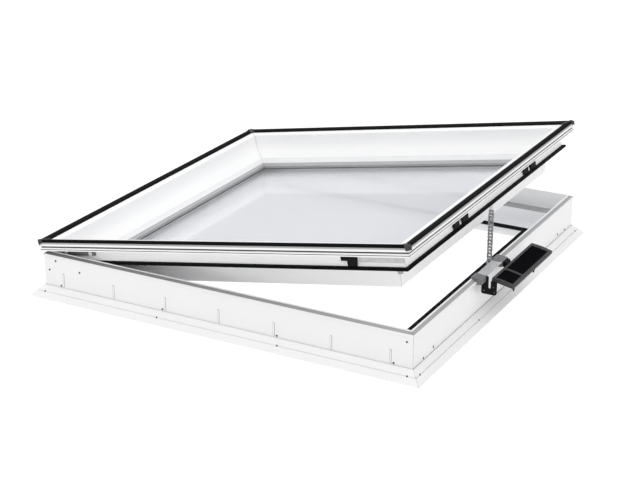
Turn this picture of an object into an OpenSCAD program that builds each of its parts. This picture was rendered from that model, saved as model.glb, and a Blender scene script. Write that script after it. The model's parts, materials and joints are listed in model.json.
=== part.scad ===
// Roof skylight: square kerb with a hinged glazed sash, held open by a chain
// actuator that a small solar panel on the kerb's rim feeds.
// Millimetres, +Z up. The origin is the middle of the kerb at the roof deck.
// The hinge side is -X, the opening side is +X and the front is -Y.
// Every section is drawn as [m, z]: m runs inwards from the kerb's outer wall.

/* [Kerb] */
// Outer length of the kerb along X, wall to wall
kerb_l = 1400; // [900:10:1800]
// Outer width of the kerb along Y, wall to wall
kerb_w = 1400; // [900:10:1800]
// Height of the outer edge of the kerb's rim
rim_h = 150; // [140:1:190]
// Rise of the rim from its outer edge to its inner lip
rim_rise = 9.5; // [6:0.5:12]
// Overhang of the rim past the outer wall
rim_out = 5; // [3:0.5:8]
// Depth of the rim from the outer wall to the inside of its lip
rim_depth = 17; // [14:0.5:20]
// Wall thickness of the plastic profiles
wall = 3; // [2.5:0.1:4]
// Height of the seat that the sash closes on
seat_z = 95; // [85:1:110]
// Depth from the outer wall to the inner edge of the seat
seat_depth = 74; // [72:1:80]
// Depth from the outer wall to the light opening
shaft_depth = 126; // [122:1:150]
// Width and height of the sloping foot flange
flange_size = 40; // [30:1:50]

/* [Seals] */
// Thickness of the flat seal on the seat
seat_seal_t = 2; // [1:0.5:4]
// Width of the flat seal on the seat
seat_seal_w = 47; // [30:1:48]
// Width of the flat black seal round the light opening
shaft_seal_w = 35; // [20:1:40]
// Thickness of the flat black seal
shaft_seal_t = 4.5; // [3:0.5:6]
// Gap that the shut sash's pegs keep to the seal on the seat
seal_gap = 0.5; // [0.3:0.1:1.5]

/* [Sash] */
// Height of the shut sash's underside over the seat
sash_lift = 23; // [18:0.5:28]
// Opening angle at which the sash stands
open_angle = 10; // [4:0.5:14]
// Height of the sash from its underside to its top face
sash_h = 81.5; // [75:0.5:95]
// Overhang of the sash past the kerb's outer wall
sash_out = 7.6; // [6:0.1:10]
// Drop of the inner skirt below the sash's underside
skirt_drop = 80; // [72:1:84]
// Depth from the kerb's outer wall to the top of the skirt
skirt_top_depth = 76; // [75:0.5:78]
// Depth from the kerb's outer wall to the foot of the skirt
skirt_depth = 86; // [84:0.5:90]
// Depth of the channel that the clips sit in
channel_depth = 33; // [30:0.5:38]
// Depth of the vertical part of the reveal
reveal_depth = 46; // [43:0.5:52]
// Depth of the reveal where it meets the glazing bead
bead_depth = 91; // [89:0.5:96]
// Distance of the hinge axis from the kerb's outer wall
pivot_depth = 30.5; // [28:0.5:34]
// Height of the hinge axis
pivot_z = 159; // [154:0.5:168]

/* [Glass] */
// Thickness of the outer pane
outer_pane = 4; // [4:1:6]
// Thickness of the cavity between the panes
cavity = 16; // [12:1:20]
// Thickness of the inner pane
inner_pane = 6; // [4:1:8]
// Width of the spacer bar at the edge of the cavity
spacer_w = 9; // [6:0.5:12]

/* [Actuator] */
// Length of the actuator housing along the rail
housing_l = 440; // [380:10:600]
// Distance between the chain's pins
chain_pitch = 12; // [10:0.5:14]
// Number of teeth on the sprocket
sprocket_teeth = 8; // [6:1:10]
// Width of the chain over its pins
chain_w = 16; // [12:1:16]
// Depth from the kerb's outer wall to the middle of the chain
chain_depth = 45; // [43:0.5:46]

/* [Solar panel] */
// Length of the solar panel along the rim
panel_l = 351; // [260:5:450]
// Width of the solar panel
panel_w = 80; // [60:1:100]
// Thickness of the solar panel
panel_t = 16; // [12:1:22]
// Downward tilt of the solar panel
panel_tilt = 11; // [5:1:20]
// Distance of the panel's near end from the middle of the kerb
panel_start = 169; // [150:1:185]

/* [Hidden] */
$fn = 48;
eps = 0.01;
half_l = kerb_l / 2;
half_w = kerb_w / 2;
arc_steps = 4;
mitre_out = 80;
mitre_in = 260;

lip_z = rim_h + rim_rise;
deck_gap = 0.3;
shaft_floor = 33;
shaft_seal_top = shaft_floor + shaft_seal_t;
seat_seal_m = seat_depth - seat_seal_w - 1;
underside_z = seat_z + sash_lift;
skirt_z = underside_z - skirt_drop;
sash_top = underside_z + sash_h;
ledge_z = lip_z + 8;
pane_z = skirt_z + 6;
pane_m = skirt_depth + wall + 1.5;
cavity_z = pane_z + inner_pane;
outer_z = cavity_z + cavity;
glass_top = outer_z + outer_pane;
glazing_seal_h = 7.6;
bead_z = glass_top + glazing_seal_h;
bead_top = bead_z + 29;
knee_z = underside_z + 37.5;
underside_depth = 30;
spacer_m = pane_m + 2.5;
pivot_x = pivot_depth - half_l;

// Screws
screw_r = 2.5;
head_r = 4.2;
head_t = 1.6;
bore_gap = 0.05;
screw_tip = 3;
fixing_r = 2.75;
fixing_inset = 10;
fixing_share = 23 / 140;

// Ribs at the foot of the front and back walls, and the screws beside them
rib_count = 7;
rib_w = 7;
rib_h = 49;
rib_pitch = kerb_l * 0.1483;
rib_proud = 1.2;
rib_screw_gap = 11;
foot_screw_z = flange_size + 4;
side_screw_inset = 75;

// Hinges
bracket_t = 3.5;
bracket_l = 146;
bracket_end = 13;
bracket_foot = seat_z + 3;
arm_t = 4;
arm_l = 165;
arm_m = channel_depth - arm_t;
arm_screws = [40, 145];
arm_drop = 12;
arm_neck = 22;
eye_r = 7.5;
pin_r = 4;
bush_r = pin_r + bore_gap;
hinge_screw_x = [48, 147, 20, 22];
hinge_screw_z = [132, 108, 95, 125];

// Corner caps, clips and pegs of the sash
cap_w = 20;
cap_turns = [["fl", 0, -1, -1], ["fr", 90, 1, -1], ["br", 180, 1, 1], ["bl", 270, -1, 1]];
clip_t = 3;
clip_z = underside_z + 22.5;
clip_foot = underside_z + 8;
clip_proud = 9;
end_clip = [58, 40, [25, 58]];
side_clip = [112, 28, [0, 40], [66, 112]];
clip_at = [
    ["front", 447, end_clip], ["back", -505, end_clip], ["opening", -320, side_clip],
    ["opening", 280, side_clip], ["hinge", -392, side_clip], ["hinge", 208, side_clip]
];
peg_depth_x = 60;
peg_depth_y = 46;
peg_r = 15;
peg_h = sash_lift - seat_seal_t - seal_gap;

// Chain drive
sprocket_r = chain_pitch / (2 * sin(180 / sprocket_teeth));
roller_r = 3.5;
tooth_r = norm([sprocket_r, chain_pitch]) - roller_r - 0.2;
chain_x = half_l - chain_depth;
housing_w = 50;
housing_t = 2.5;
housing_z = 36;
housing_top = seat_z - wall;
housing_x = half_l - (seat_depth - wall - 0.5) + housing_w / 2;
cover_m = rim_depth + 3.3;
cover_w = seat_depth - cover_m - 2.9;
sprocket_z = 66;
sprocket_y = -sprocket_r;
shaft_r = 4;
yoke_drop = 10;
yoke_z0 = underside_z - yoke_drop;
yoke_x0 = pivot_x + (chain_x - pivot_x + (yoke_z0 - pivot_z) * sin(open_angle)) / cos(open_angle);
yoke_z = pivot_z + (yoke_x0 - pivot_x) * sin(open_angle) + (yoke_z0 - pivot_z) * cos(open_angle);
yoke_foot = 14;
yoke_w = 12;
yoke_t = 10;
yoke_pin_r = 3;
bracket_plate = 3;
bracket_half_w = 24;
bracket_plate_l = 26;
bracket_screw_y = 17;
bracket_screw_x = half_l - underside_depth - 5.6;
link_r = 4.6;
link_t = 1.6;
chain_links = floor((yoke_z - yoke_foot - sprocket_z) / chain_pitch);
chain_top = sprocket_z + chain_links * chain_pitch;

// Solar panel carriers on the rim
saddle_near_y = -226;
saddle_w = 40;
saddle_far_y = -50;
saddle_far_w = 50;
saddle_top = lip_z + 3.5;
saddle_out = 22;
saddle_grip = 8;
plate_t = 2.4;
clamp_t = 4;
clamp_w = 54;
clamp_x = half_l + rim_out + deck_gap;
clamp_foot = rim_h - 53;
panel_x = half_l + 37;
panel_z = rim_h + 6;
panel_near_y = -panel_start;
panel_far_y = panel_near_y + panel_l;
panel_crown = 3;
tongue_x = panel_x - 4.2;
tongue_in = 8;
tongue_l = 48;
panel_pin_at = [16, 196];
panel_pin_in = 4;
panel_pin_h = 13;
cell_t = 2;
cell_rim = 10;
cell_near = 6;
cell_far = 20;
cell_split = 0.25 * panel_l;
cell_bar = 10;

white_pvc = [0.95, 0.95, 0.95];
black_rubber = [0.04, 0.04, 0.04];
grey_rubber = [0.5, 0.5, 0.5];
charcoal = [0.25, 0.25, 0.26];
steel = [0.7, 0.7, 0.72];
dark_steel = [0.3, 0.3, 0.31];

// ---- Outlines ----

// Length-one vector along v
function unit(v) = v / norm(v);

// Arc that rounds corner b of the path a-b-c by its radius b[2]
function corner(a, b, c) =
    let (p = [b[0], b[1]], u = unit([a[0], a[1]] - p), v = unit([c[0], c[1]] - p))
    let (half = acos(u * v) / 2, centre = p + unit(u + v) * b[2] / sin(half))
    let (s = p + u * b[2] / tan(half) - centre, e = p + v * b[2] / tan(half) - centre)
    let (from = atan2(s[1], s[0]), turn = (atan2(e[1], e[0]) - from + 540) % 360 - 180)
    [for (k = [0:arc_steps]) let (at = from + turn * k / arc_steps) centre + b[2] * [cos(at), sin(at)]];

// Outline of [x, y] points, where an optional third number rounds a corner
function rounded(path) = let (n = len(path)) [
    for (i = [0:n - 1]) each path[i][2] == undef
        ? [[path[i][0], path[i][1]]]
        : corner(path[(i + n - 1) % n], path[i], path[(i + 1) % n])
];

// ---- Mitred frames ----

// Turn about Z that carries the front side to the named side
function side_turn(side) = side == "front" ? 0 : side == "opening" ? 90 : side == "back" ? 180 : -90;

// Length of a side, and distance of its wall from the middle
function side_run(side) = side == "front" || side == "back" ? kerb_l : kerb_w;
function side_reach(side) = side == "front" || side == "back" ? half_w : half_l;

// Children drawn as [m, z], swept along one side of the kerb and mitred
module mitred(side) {
    run = side_run(side);
    reach = side_reach(side);
    rotate([0, 0, side_turn(side)])
        intersection() {
            translate([-run / 2 - mitre_out, -reach, 0])
                rotate([90, 0, 90])
                    linear_extrude(run + 2 * mitre_out) children();
            translate([0, 0, -10])
                linear_extrude(sash_top + 60)
                    polygon([
                        [-run / 2 - mitre_out, -reach - mitre_out], [run / 2 + mitre_out, -reach - mitre_out],
                        [run / 2 - mitre_in, -reach + mitre_in], [-run / 2 + mitre_in, -reach + mitre_in]
                    ]);
        }
}

// Children drawn as [m, z], swept right round as a ring
module ring() {
    for (side = ["front", "opening", "back", "hinge"]) mitred(side) children();
}

// Children drawn as [m, z], swept along a side from one place to another
module along(side, from, to) {
    rotate([0, 0, side_turn(side)])
        translate([from, -side_reach(side), 0])
            rotate([90, 0, 90])
                linear_extrude(to - from) children();
}

// Children placed at a point of a side's wall, looking outwards
module on_wall(side, at, z) {
    rotate([0, 0, side_turn(side)]) translate([at, -side_reach(side), z]) children();
}

// Sash pieces are drawn closed and turned open about the hinge axis
module opened() {
    translate([pivot_x, 0, pivot_z])
        rotate([0, -open_angle, 0])
            translate([-pivot_x, 0, -pivot_z]) children();
}

// ---- Kerb ----

module kerb_section() {
    difference() {
        polygon(rounded([
            [0, 0], [0, rim_h - rim_out], [-rim_out, rim_h - 4, 1], [-rim_out, rim_h, 1.5],
            [rim_depth - 4, lip_z, 1], [rim_depth, lip_z, 1],
            [rim_depth, seat_z, 1.5], [seat_depth, seat_z, 2],
            [seat_depth, shaft_floor, 22], [shaft_depth, shaft_floor, 1.5], [shaft_depth, 0]
        ]));
        polygon([
            [wall, seat_z + 1], [wall, rim_h - 6], [1, rim_h - 2], [rim_depth - wall, lip_z - 4],
            [rim_depth - wall, seat_z + 1]
        ]);
        polygon([
            [wall, housing_z], [wall, seat_z - wall], [seat_depth - wall, seat_z - wall],
            [seat_depth - wall, housing_z]
        ]);
        polygon([
            [wall, wall], [wall, housing_z - wall], [seat_depth - wall, housing_z - wall],
            [seat_depth - wall, wall]
        ]);
        polygon([
            [seat_depth, wall], [seat_depth, shaft_floor - wall], [shaft_depth - wall, shaft_floor - wall],
            [shaft_depth - wall, wall]
        ]);
    }
}

module wall_ribs(side) {
    for (k = [0:rib_count - 1])
        on_wall(side, (k - (rib_count - 1) / 2) * rib_pitch, flange_size)
            rotate([90, 0, 0]) linear_extrude(rib_proud) {
                translate([-rib_w / 2, 0]) square([rib_w, rib_h - rib_w / 2]);
                translate([0, rib_h - rib_w / 2]) circle(rib_w / 2);
            }
}

// Wall screws of a side, as [place along the side, height, length inside the wall]
function foot_screws(side) = side == "front" || side == "back"
    ? [for (k = [-3, -1, 1, 3]) [k * rib_pitch + sign(k) * rib_screw_gap, foot_screw_z, wall + screw_tip]]
    : [for (k = [-1, 1]) [k * (half_w - side_screw_inset), foot_screw_z, wall + screw_tip]];
// The first two hold the hinge bracket, and the last one is at the opening side's corner
function hinge_screws(turned) = [for (k = [0:3]) [
    (k == 3 ? -turned : turned) * (half_l - hinge_screw_x[k]), hinge_screw_z[k],
    k < 2 ? rim_depth + bracket_t + 0.5 : wall + screw_tip
]];
function wall_screws(side) = concat(
    foot_screws(side),
    side == "front" ? hinge_screws(-1) : side == "back" ? hinge_screws(1) : []
);

module wall_bores(side) {
    for (s = wall_screws(side))
        on_wall(side, s[0], s[1])
            rotate([-90, 0, 0]) translate([0, 0, -3]) cylinder(r = screw_r + bore_gap, h = s[2] + 4);
}

module kerb_rail(side) {
    color(white_pvc) difference() {
        union() {
            mitred(side) kerb_section();
            if (side == "front" || side == "back") wall_ribs(side);
        }
        wall_bores(side);
        if (side == "opening")
            along(side, -housing_l / 2 - deck_gap, housing_l / 2 + deck_gap)
                translate([cover_m - deck_gap, seat_z - wall - eps])
                    square([cover_w + 2 * deck_gap, wall + 2 * eps]);
    }
}

module flange_section() {
    notch = flange_size / 2;
    difference() {
        polygon([
            [0, 0], [-flange_size, 0], [-flange_size, 1.5], [-notch - 0.8, notch - 0.8],
            [-notch, notch - 1.4], [-notch + 0.4, notch + 0.4], [-1.2, flange_size - 1.2],
            [-0.6, flange_size - 2], [0, flange_size - 2]
        ]);
        polygon([[-wall, wall], [-notch + 7, wall], [-notch + 7, notch + 2], [-wall, flange_size - 9]]);
    }
}

module flange(side) {
    color(white_pvc) difference() {
        mitred(side) flange_section();
        for (at = [side_run(side) / 2 - fixing_inset, side_run(side) * fixing_share], s = [-1, 1])
            on_wall(side, s * at, 0) translate([0, -flange_size / 2, -1])
                cylinder(r = fixing_r, h = flange_size);
    }
}

module frame_screws() {
    color(dark_steel)
        for (side = ["front", "opening", "back", "hinge"])
            for (s = wall_screws(side))
                on_wall(side, s[0], s[1]) rotate([90, 0, 0]) {
                    translate([0, 0, deck_gap / 3]) cylinder(r = head_r, h = head_t);
                    translate([0, 0, -s[2]]) cylinder(r = screw_r, h = s[2] + 1);
                }
}

// The seat of the opening side carries the actuator's cover, and has no seal
module seat_seal() {
    color(grey_rubber) for (side = ["front", "hinge", "back"])
        mitred(side) translate([seat_seal_m, seat_z]) square([seat_seal_w, seat_seal_t]);
}

module shaft_seal() {
    inner = shaft_depth - 14 + shaft_seal_w;
    color(black_rubber) ring() polygon([
        [shaft_depth - 14, shaft_floor], [shaft_depth - 14, shaft_seal_top - 1],
        [shaft_depth - 12, shaft_seal_top], [inner, shaft_floor + 3], [inner, shaft_floor + 1.5],
        [shaft_depth, shaft_floor]
    ]);
}

// ---- Hinges ----

// Children drawn for the front hinge, and mirrored for the back one
module hinge_end(end) {
    if (end == "front") children();
    else mirror([0, 1, 0]) children();
}

module hinge_bracket(end) {
    color(steel) hinge_end(end)
        translate([0, -half_w + rim_depth, 0]) rotate([-90, 0, 0]) difference() {
            linear_extrude(bracket_t) union() {
                translate([pivot_x - bracket_end, -lip_z + 2]) square([bracket_l, lip_z - 2 - bracket_foot]);
                translate([pivot_x, -pivot_z]) circle(eye_r);
            }
            translate([pivot_x, -pivot_z, -1]) cylinder(r = bush_r, h = bracket_t + 2);
            for (k = [0, 1])
                translate([hinge_screw_x[k] - half_l, -hinge_screw_z[k], -1])
                    cylinder(r = screw_r + bore_gap, h = bracket_t + 2);
        }
}

module hinge_arm(end) {
    color(steel) hinge_end(end) opened()
        translate([0, -half_w + arm_m, 0]) rotate([-90, 0, 0]) difference() {
            linear_extrude(arm_t) union() {
                translate([pivot_x, -pivot_z]) circle(eye_r);
                polygon([
                    [pivot_x, -pivot_z - eye_r], [pivot_x + arm_l, -pivot_z - eye_r],
                    [pivot_x + arm_l, -pivot_z + arm_drop + 6],
                    [pivot_x + arm_neck, -pivot_z + arm_drop + 6], [pivot_x, -pivot_z + eye_r]
                ]);
            }
            translate([pivot_x, -pivot_z, -1]) cylinder(r = bush_r, h = arm_t + 2);
            for (dx = arm_screws)
                translate([pivot_x + dx, arm_drop - pivot_z, -1])
                    cylinder(r = screw_r + bore_gap, h = arm_t + 2);
        }
}

module hinge_pin(end) {
    color(steel) hinge_end(end)
        translate([pivot_x, -half_w + rim_depth + 0.2, pivot_z]) rotate([-90, 0, 0]) {
            cylinder(r = pin_r, h = arm_m + arm_t - rim_depth - 0.4);
            translate([0, 0, bracket_t]) cylinder(r = pin_r + 1.5, h = arm_m - rim_depth - bracket_t - 0.6);
        }
}

// ---- Actuator ----

module actuator_housing() {
    color(dark_steel) difference() {
        translate([housing_x - housing_w / 2, -housing_l / 2, housing_z])
            cube([housing_w, housing_l, housing_top - housing_z]);
        translate([housing_x - housing_w / 2 + housing_t, -housing_l / 2 + housing_t, housing_z + housing_t])
            cube([housing_w - 2 * housing_t, housing_l - 2 * housing_t, housing_top]);
        translate([housing_x - housing_w, sprocket_y, sprocket_z])
            rotate([0, 90, 0]) cylinder(r = shaft_r + 0.05, h = 2 * housing_w);
    }
}

module actuator_cover() {
    slot = chain_w + 3;
    color(white_pvc) difference() {
        along("opening", -housing_l / 2, housing_l / 2)
            translate([cover_m, seat_z - wall]) square([cover_w, wall]);
        translate([chain_x - slot / 2, -slot / 2, seat_z - 2 * wall])
            cube([yoke_x0 - chain_x + yoke_w / 2 + 1 + slot / 2, slot, 3 * wall]);
    }
}

module gearmotor() {
    box_l = 44;
    motor_l = 84;
    box_y = sprocket_y - sprocket_r - 6 - box_l;
    motor_z = housing_z + housing_t + 23;
    color([0.35, 0.36, 0.38]) {
        translate([housing_x - 20, box_y, housing_z + housing_t]) cube([40, box_l, 46]);
        translate([housing_x, box_y + 1, motor_z]) rotate([90, 0, 0]) cylinder(r = 17, h = motor_l + 1);
        translate([housing_x, box_y - motor_l + 1, motor_z]) rotate([90, 0, 0]) cylinder(r = 6, h = 6);
    }
}

module control_board() {
    board_y = 30;
    color([0.1, 0.35, 0.2]) {
        translate([housing_x - 21, board_y, housing_z + housing_t]) cube([42, 52, 1.6]);
        translate([housing_x - 14, board_y + 8, housing_z + housing_t + 1.6 - eps]) cube([12, 12, 2.5]);
        translate([housing_x + 2, board_y + 10, housing_z + housing_t + 1.6 - eps]) cube([14, 8, 9]);
        for (dx = [-12, 0, 12])
            translate([housing_x + dx, board_y + 38, housing_z + housing_t + 1.6 - eps])
                cylinder(r = 4, h = 10);
    }
}

module battery_pack() {
    pack_y = 88;
    cell_r = 19;
    color([0.15, 0.2, 0.3])
        translate([housing_x, pack_y, housing_z + housing_t + cell_r])
            rotate([-90, 0, 0]) {
                cylinder(r = cell_r, h = 112);
                translate([-cell_r, 0, 0]) cube([2 * cell_r, cell_r, 112]);
            }
}

module output_shaft() {
    color(steel) translate([housing_x - housing_w / 2 + 0.2, sprocket_y, sprocket_z])
        rotate([0, 90, 0]) cylinder(r = shaft_r, h = housing_w - 0.4);
}

module sprocket() {
    color(steel) translate([chain_x - 2.5, sprocket_y, sprocket_z]) rotate([0, 90, 0])
        difference() {
            cylinder(r = tooth_r, h = 5);
            translate([0, 0, -1]) cylinder(r = shaft_r, h = 7);
            for (k = [0:sprocket_teeth - 1])
                rotate([0, 0, 90 + k * 360 / sprocket_teeth])
                    translate([sprocket_r, 0, -1]) cylinder(r = roller_r + 0.5, h = 7);
        }
}

// One link plate from pin to pin, standing up
module link_plate(x) {
    translate([x, 0, 0]) rotate([0, 90, 0]) {
        cylinder(r = link_r, h = link_t);
        translate([-chain_pitch, 0, 0]) cylinder(r = link_r, h = link_t);
        translate([-chain_pitch, -link_r * 0.8, 0]) cube([chain_pitch, link_r * 1.6, link_t]);
    }
}

module chain() {
    inner_x = 3.4;
    outer_x = chain_w / 2 - link_t - 0.9;
    color(steel) translate([chain_x, 0, sprocket_z])
        for (k = [0:chain_links]) {
            translate([-chain_w / 2, 0, k * chain_pitch]) rotate([0, 90, 0]) cylinder(r = 1.8, h = chain_w);
            translate([-inner_x, 0, k * chain_pitch]) rotate([0, 90, 0])
                cylinder(r = roller_r, h = 2 * inner_x);
            if (k < chain_links)
                for (s = [0, 1]) mirror([s, 0, 0])
                    translate([0, 0, k * chain_pitch]) link_plate(k % 2 == 0 ? inner_x : outer_x);
        }
}

module chain_yoke() {
    foot_z = chain_top + link_r + deck_gap;
    color(steel) difference() {
        union() {
            translate([chain_x - yoke_w / 2, -yoke_t / 2, foot_z]) cube([yoke_w, yoke_t, yoke_z - foot_z]);
            translate([chain_x, yoke_t / 2, yoke_z]) rotate([90, 0, 0]) cylinder(r = yoke_w / 2, h = yoke_t);
        }
        translate([chain_x, yoke_t, yoke_z]) rotate([90, 0, 0])
            cylinder(r = yoke_pin_r + bore_gap, h = 2 * yoke_t);
    }
}

module yoke_pin() {
    color(steel) translate([chain_x, 11, yoke_z]) rotate([90, 0, 0]) cylinder(r = yoke_pin_r, h = 22);
}

module chain_bracket() {
    ear_y = yoke_t / 2 + 0.4;
    color(steel) opened() difference() {
        union() {
            translate([
                half_l - underside_depth - bracket_plate_l, -bracket_half_w, underside_z - bracket_plate
            ])
                cube([bracket_plate_l - deck_gap, 2 * bracket_half_w, bracket_plate]);
            for (y = [ear_y, -ear_y - bracket_plate]) {
                translate([yoke_x0 - yoke_w / 2, y, yoke_z0]) cube([yoke_w, bracket_plate, yoke_drop - 1]);
                translate([yoke_x0, y + bracket_plate, yoke_z0]) rotate([90, 0, 0])
                    cylinder(r = yoke_w / 2, h = bracket_plate);
            }
        }
        translate([yoke_x0, 2 * yoke_t, yoke_z0]) rotate([90, 0, 0])
            cylinder(r = yoke_pin_r + bore_gap, h = 4 * yoke_t);
        bracket_bores();
    }
}

// Bores of the bracket's two screws, through its plate and the sash's underside
module bracket_bores() {
    for (y = [-bracket_screw_y, bracket_screw_y])
        translate([bracket_screw_x, y, underside_z - 2 * bracket_plate])
            cylinder(r = screw_r + bore_gap, h = 20);
}

// ---- Solar panel and its carriers on the rim ----

// Saddle that lies on the rim and grips under its outer edge, as [m, z]
module saddle_section(out) {
    edge = -rim_out - deck_gap;
    polygon(rounded([
        [rim_depth - 0.5, lip_z + deck_gap], [rim_depth - 0.5, saddle_top, 1.5], [-out, saddle_top, 3],
        [-out, rim_h - 2, 1], [edge - 3, rim_h - 2], [edge - 3, rim_h - saddle_grip],
        [-1, rim_h - saddle_grip], [-1, rim_h - rim_out - 0.3], [edge, rim_h - 4.3], [edge, rim_h + deck_gap],
        [rim_depth - 4.2, lip_z + deck_gap]
    ]));
}

// The opening side runs along +Y, so places along it are y
module saddle_near() {
    color([0.55, 0.55, 0.56])
        along("opening", saddle_near_y, saddle_near_y + saddle_w) saddle_section(saddle_out);
}

module saddle_far() {
    color([0.4, 0.4, 0.41]) {
        along("opening", saddle_far_y, saddle_far_y + saddle_far_w) saddle_section(tongue_x - half_l);
        on_panel() translate([-tongue_in, saddle_far_y + 8, -panel_t - 3])
            cube([tongue_l, saddle_far_w - 16, 3]);
        translate([tongue_x - 5, saddle_far_y + 8, panel_z - panel_t - 1])
            cube([5, saddle_far_w - 16, rim_h - panel_z + panel_t + 3]);
    }
}

module rim_plate() {
    color([0.8, 0.8, 0.8])
        along("opening", saddle_near_y + saddle_w + clamp_t + deck_gap, saddle_far_y)
            translate([-saddle_out, lip_z + deck_gap]) square([rim_depth + saddle_out - 3, plate_t]);
}

// Plate with a slot, that hangs on the near saddle beside the panel's end
module panel_clamp() {
    left_w = 24;
    slot_w = 9;
    color(black_rubber)
        translate([0, saddle_near_y + saddle_w + clamp_t, 0]) rotate([90, 0, 0]) difference() {
            linear_extrude(clamp_t) polygon(rounded([
                [clamp_x, clamp_foot, 6], [clamp_x, saddle_top - 1, 3], [clamp_x + left_w, saddle_top - 3, 3],
                [clamp_x + left_w, clamp_foot + 21, 4], [clamp_x + left_w + slot_w, clamp_foot + 21, 4],
                [clamp_x + left_w + slot_w, rim_h - 4, 2], [clamp_x + clamp_w, rim_h - 6, 2],
                [clamp_x + clamp_w, clamp_foot, 8]
            ]));
            for (p = [[9, 11], [9, 45], [clamp_w - 8, 9], [clamp_w - 12, 27]])
                translate([clamp_x + p[0], clamp_foot + p[1], -1]) cylinder(r = 2, h = clamp_t + 2);
        }
}

// Panel pieces are drawn flat, with x across from the inner edge and the top at z = 0
module on_panel() {
    translate([panel_x, 0, panel_z]) rotate([0, panel_tilt, 0]) children();
}

module panel_outline() {
    polygon(rounded([
        [0, -panel_t], [0, -panel_crown, 2], [panel_w / 2, 0, 160], [panel_w, -panel_crown, 4],
        [panel_w, -panel_t, 2]
    ]));
}

// Pocket in the panel's top between two places, for a field of cells
module cell_pocket(from, to, depth) {
    translate([cell_rim, from, -panel_crown - depth]) cube([panel_w - 2 * cell_rim, to - from, depth + 4]);
}

module panel_frame() {
    color(charcoal) on_panel() difference() {
        translate([0, panel_far_y, 0]) rotate([90, 0, 0]) linear_extrude(panel_l) panel_outline();
        cell_pocket(panel_near_y + cell_near, panel_near_y + cell_split, cell_t);
        cell_pocket(panel_near_y + cell_split + cell_bar, panel_far_y - cell_far, cell_t);
        translate([wall, panel_near_y + wall + 8, -panel_t - 1])
            cube([panel_w - 2 * wall, panel_l - 2 * wall - 16, panel_t - 7]);
        translate([-1, panel_near_y, -panel_t]) rotate([50, 0, 0]) translate([0, -30, -30])
            cube([panel_w + 2, 30, 60]);
    }
}

module panel_cell(from, to) {
    color([0.06, 0.06, 0.07]) on_panel()
        translate([cell_rim + 0.2, from + 0.2, -panel_crown - cell_t])
            cube([panel_w - 2 * cell_rim - 0.4, to - from - 0.4, cell_t]);
}

module panel_back() {
    color(charcoal) on_panel()
        translate([wall + 0.2, panel_near_y + wall + 8.2, -panel_t])
            cube([panel_w - 2 * wall - 0.4, panel_l - 2 * wall - 16.4, 2]);
}

module panel_pins() {
    color(black_rubber) on_panel()
        for (y = panel_pin_at)
            translate([panel_w - panel_pin_in, panel_near_y + y, -panel_t - panel_pin_h])
                cylinder(r = 2.5, h = panel_pin_h);
}

// ---- Sash ----

module sash_section() {
    groove = sash_top - 14.7;
    difference() {
        polygon(rounded([
            [-4, sash_top], [-sash_out, sash_top - 7.5], [-sash_out, groove], [-sash_out + 4, groove],
            [-sash_out + 4, groove - 5.6], [-sash_out + 0.6, groove - 6.4], [-sash_out, groove - 11.6],
            [-sash_out + 1.2, groove - 12.2], [-sash_out, groove - 12.8], [-sash_out, ledge_z, 1.5],
            [channel_depth, ledge_z, 0.8], [channel_depth, underside_z + 18, 3],
            [underside_depth, underside_z + 11], [underside_depth, underside_z],
            [skirt_top_depth, underside_z, 2], [skirt_depth, skirt_z, 1.5],
            [spacer_m + spacer_w, skirt_z, 1], [spacer_m + spacer_w, pane_z - 1],
            [skirt_depth + wall, pane_z - 1],
            [skirt_depth + wall, bead_top], [bead_depth, bead_top, 1],
            [reveal_depth, knee_z, 6], [reveal_depth + 1, sash_top - 5, 3], [21, sash_top - 1]
        ]));
        polygon([
            [0, ledge_z + wall], [0, sash_top - 4], [21, sash_top - 5], [reveal_depth - wall, sash_top - 8],
            [reveal_depth - wall, ledge_z + wall]
        ]);
        polygon([
            [channel_depth + wall, underside_z + wall], [channel_depth + wall, ledge_z - 1],
            [reveal_depth - wall, ledge_z - 1], [reveal_depth - wall, knee_z - 2],
            [skirt_top_depth - 4, underside_z + wall]
        ]);
    }
}

module sash_rail(side) {
    color(white_pvc) opened() difference() {
        mitred(side) sash_section();
        if (side == "opening") bracket_bores();
        if (side == "front" || side == "back") hinge_end(side) arm_bores();
    }
}

// Bores of the hinge arm's screws in the wall of the sash's channel
module arm_bores() {
    for (dx = arm_screws)
        translate([pivot_x + dx, -half_w + channel_depth - 1, pivot_z - arm_drop]) rotate([-90, 0, 0])
            cylinder(r = screw_r + bore_gap, h = wall + 4);
}

module bead(side) {
    color(white_pvc) opened() mitred(side) polygon(rounded([
        [skirt_depth + wall + 0.2, bead_z], [skirt_depth + wall + 0.2, bead_top - 0.3],
        [bead_depth, bead_top - 0.3], [bead_depth + 8, bead_z, 1]
    ]));
}

module pane(z, t) {
    translate([-half_l + pane_m, -half_w + pane_m, z]) cube([kerb_l - 2 * pane_m, kerb_w - 2 * pane_m, t]);
}

module glass_outer() {
    color([0.8, 0.85, 0.88, 0.4]) opened() pane(outer_z, outer_pane);
}

module glass_inner() {
    color([0.8, 0.85, 0.88, 0.4]) opened() pane(pane_z, inner_pane);
}

module spacer_bar() {
    color(steel) opened() ring() translate([spacer_m, cavity_z]) square([spacer_w, cavity]);
}

module edge_seal() {
    color(black_rubber) opened() ring() translate([pane_m, cavity_z]) square([spacer_m - pane_m, cavity]);
}

module glazing_seal() {
    color(grey_rubber) opened() ring() polygon([
        [pane_m, glass_top], [pane_m, bead_z], [bead_depth + 8, bead_z], [bead_depth + 9, glass_top]
    ]);
}

// Diagonal bar over a corner of the top seal, with a leg down the outside
module cap_place(turn, sx, sy) {
    translate([sx * half_l, sy * half_w, 0]) rotate([0, 0, turn + 45]) children();
}

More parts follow.
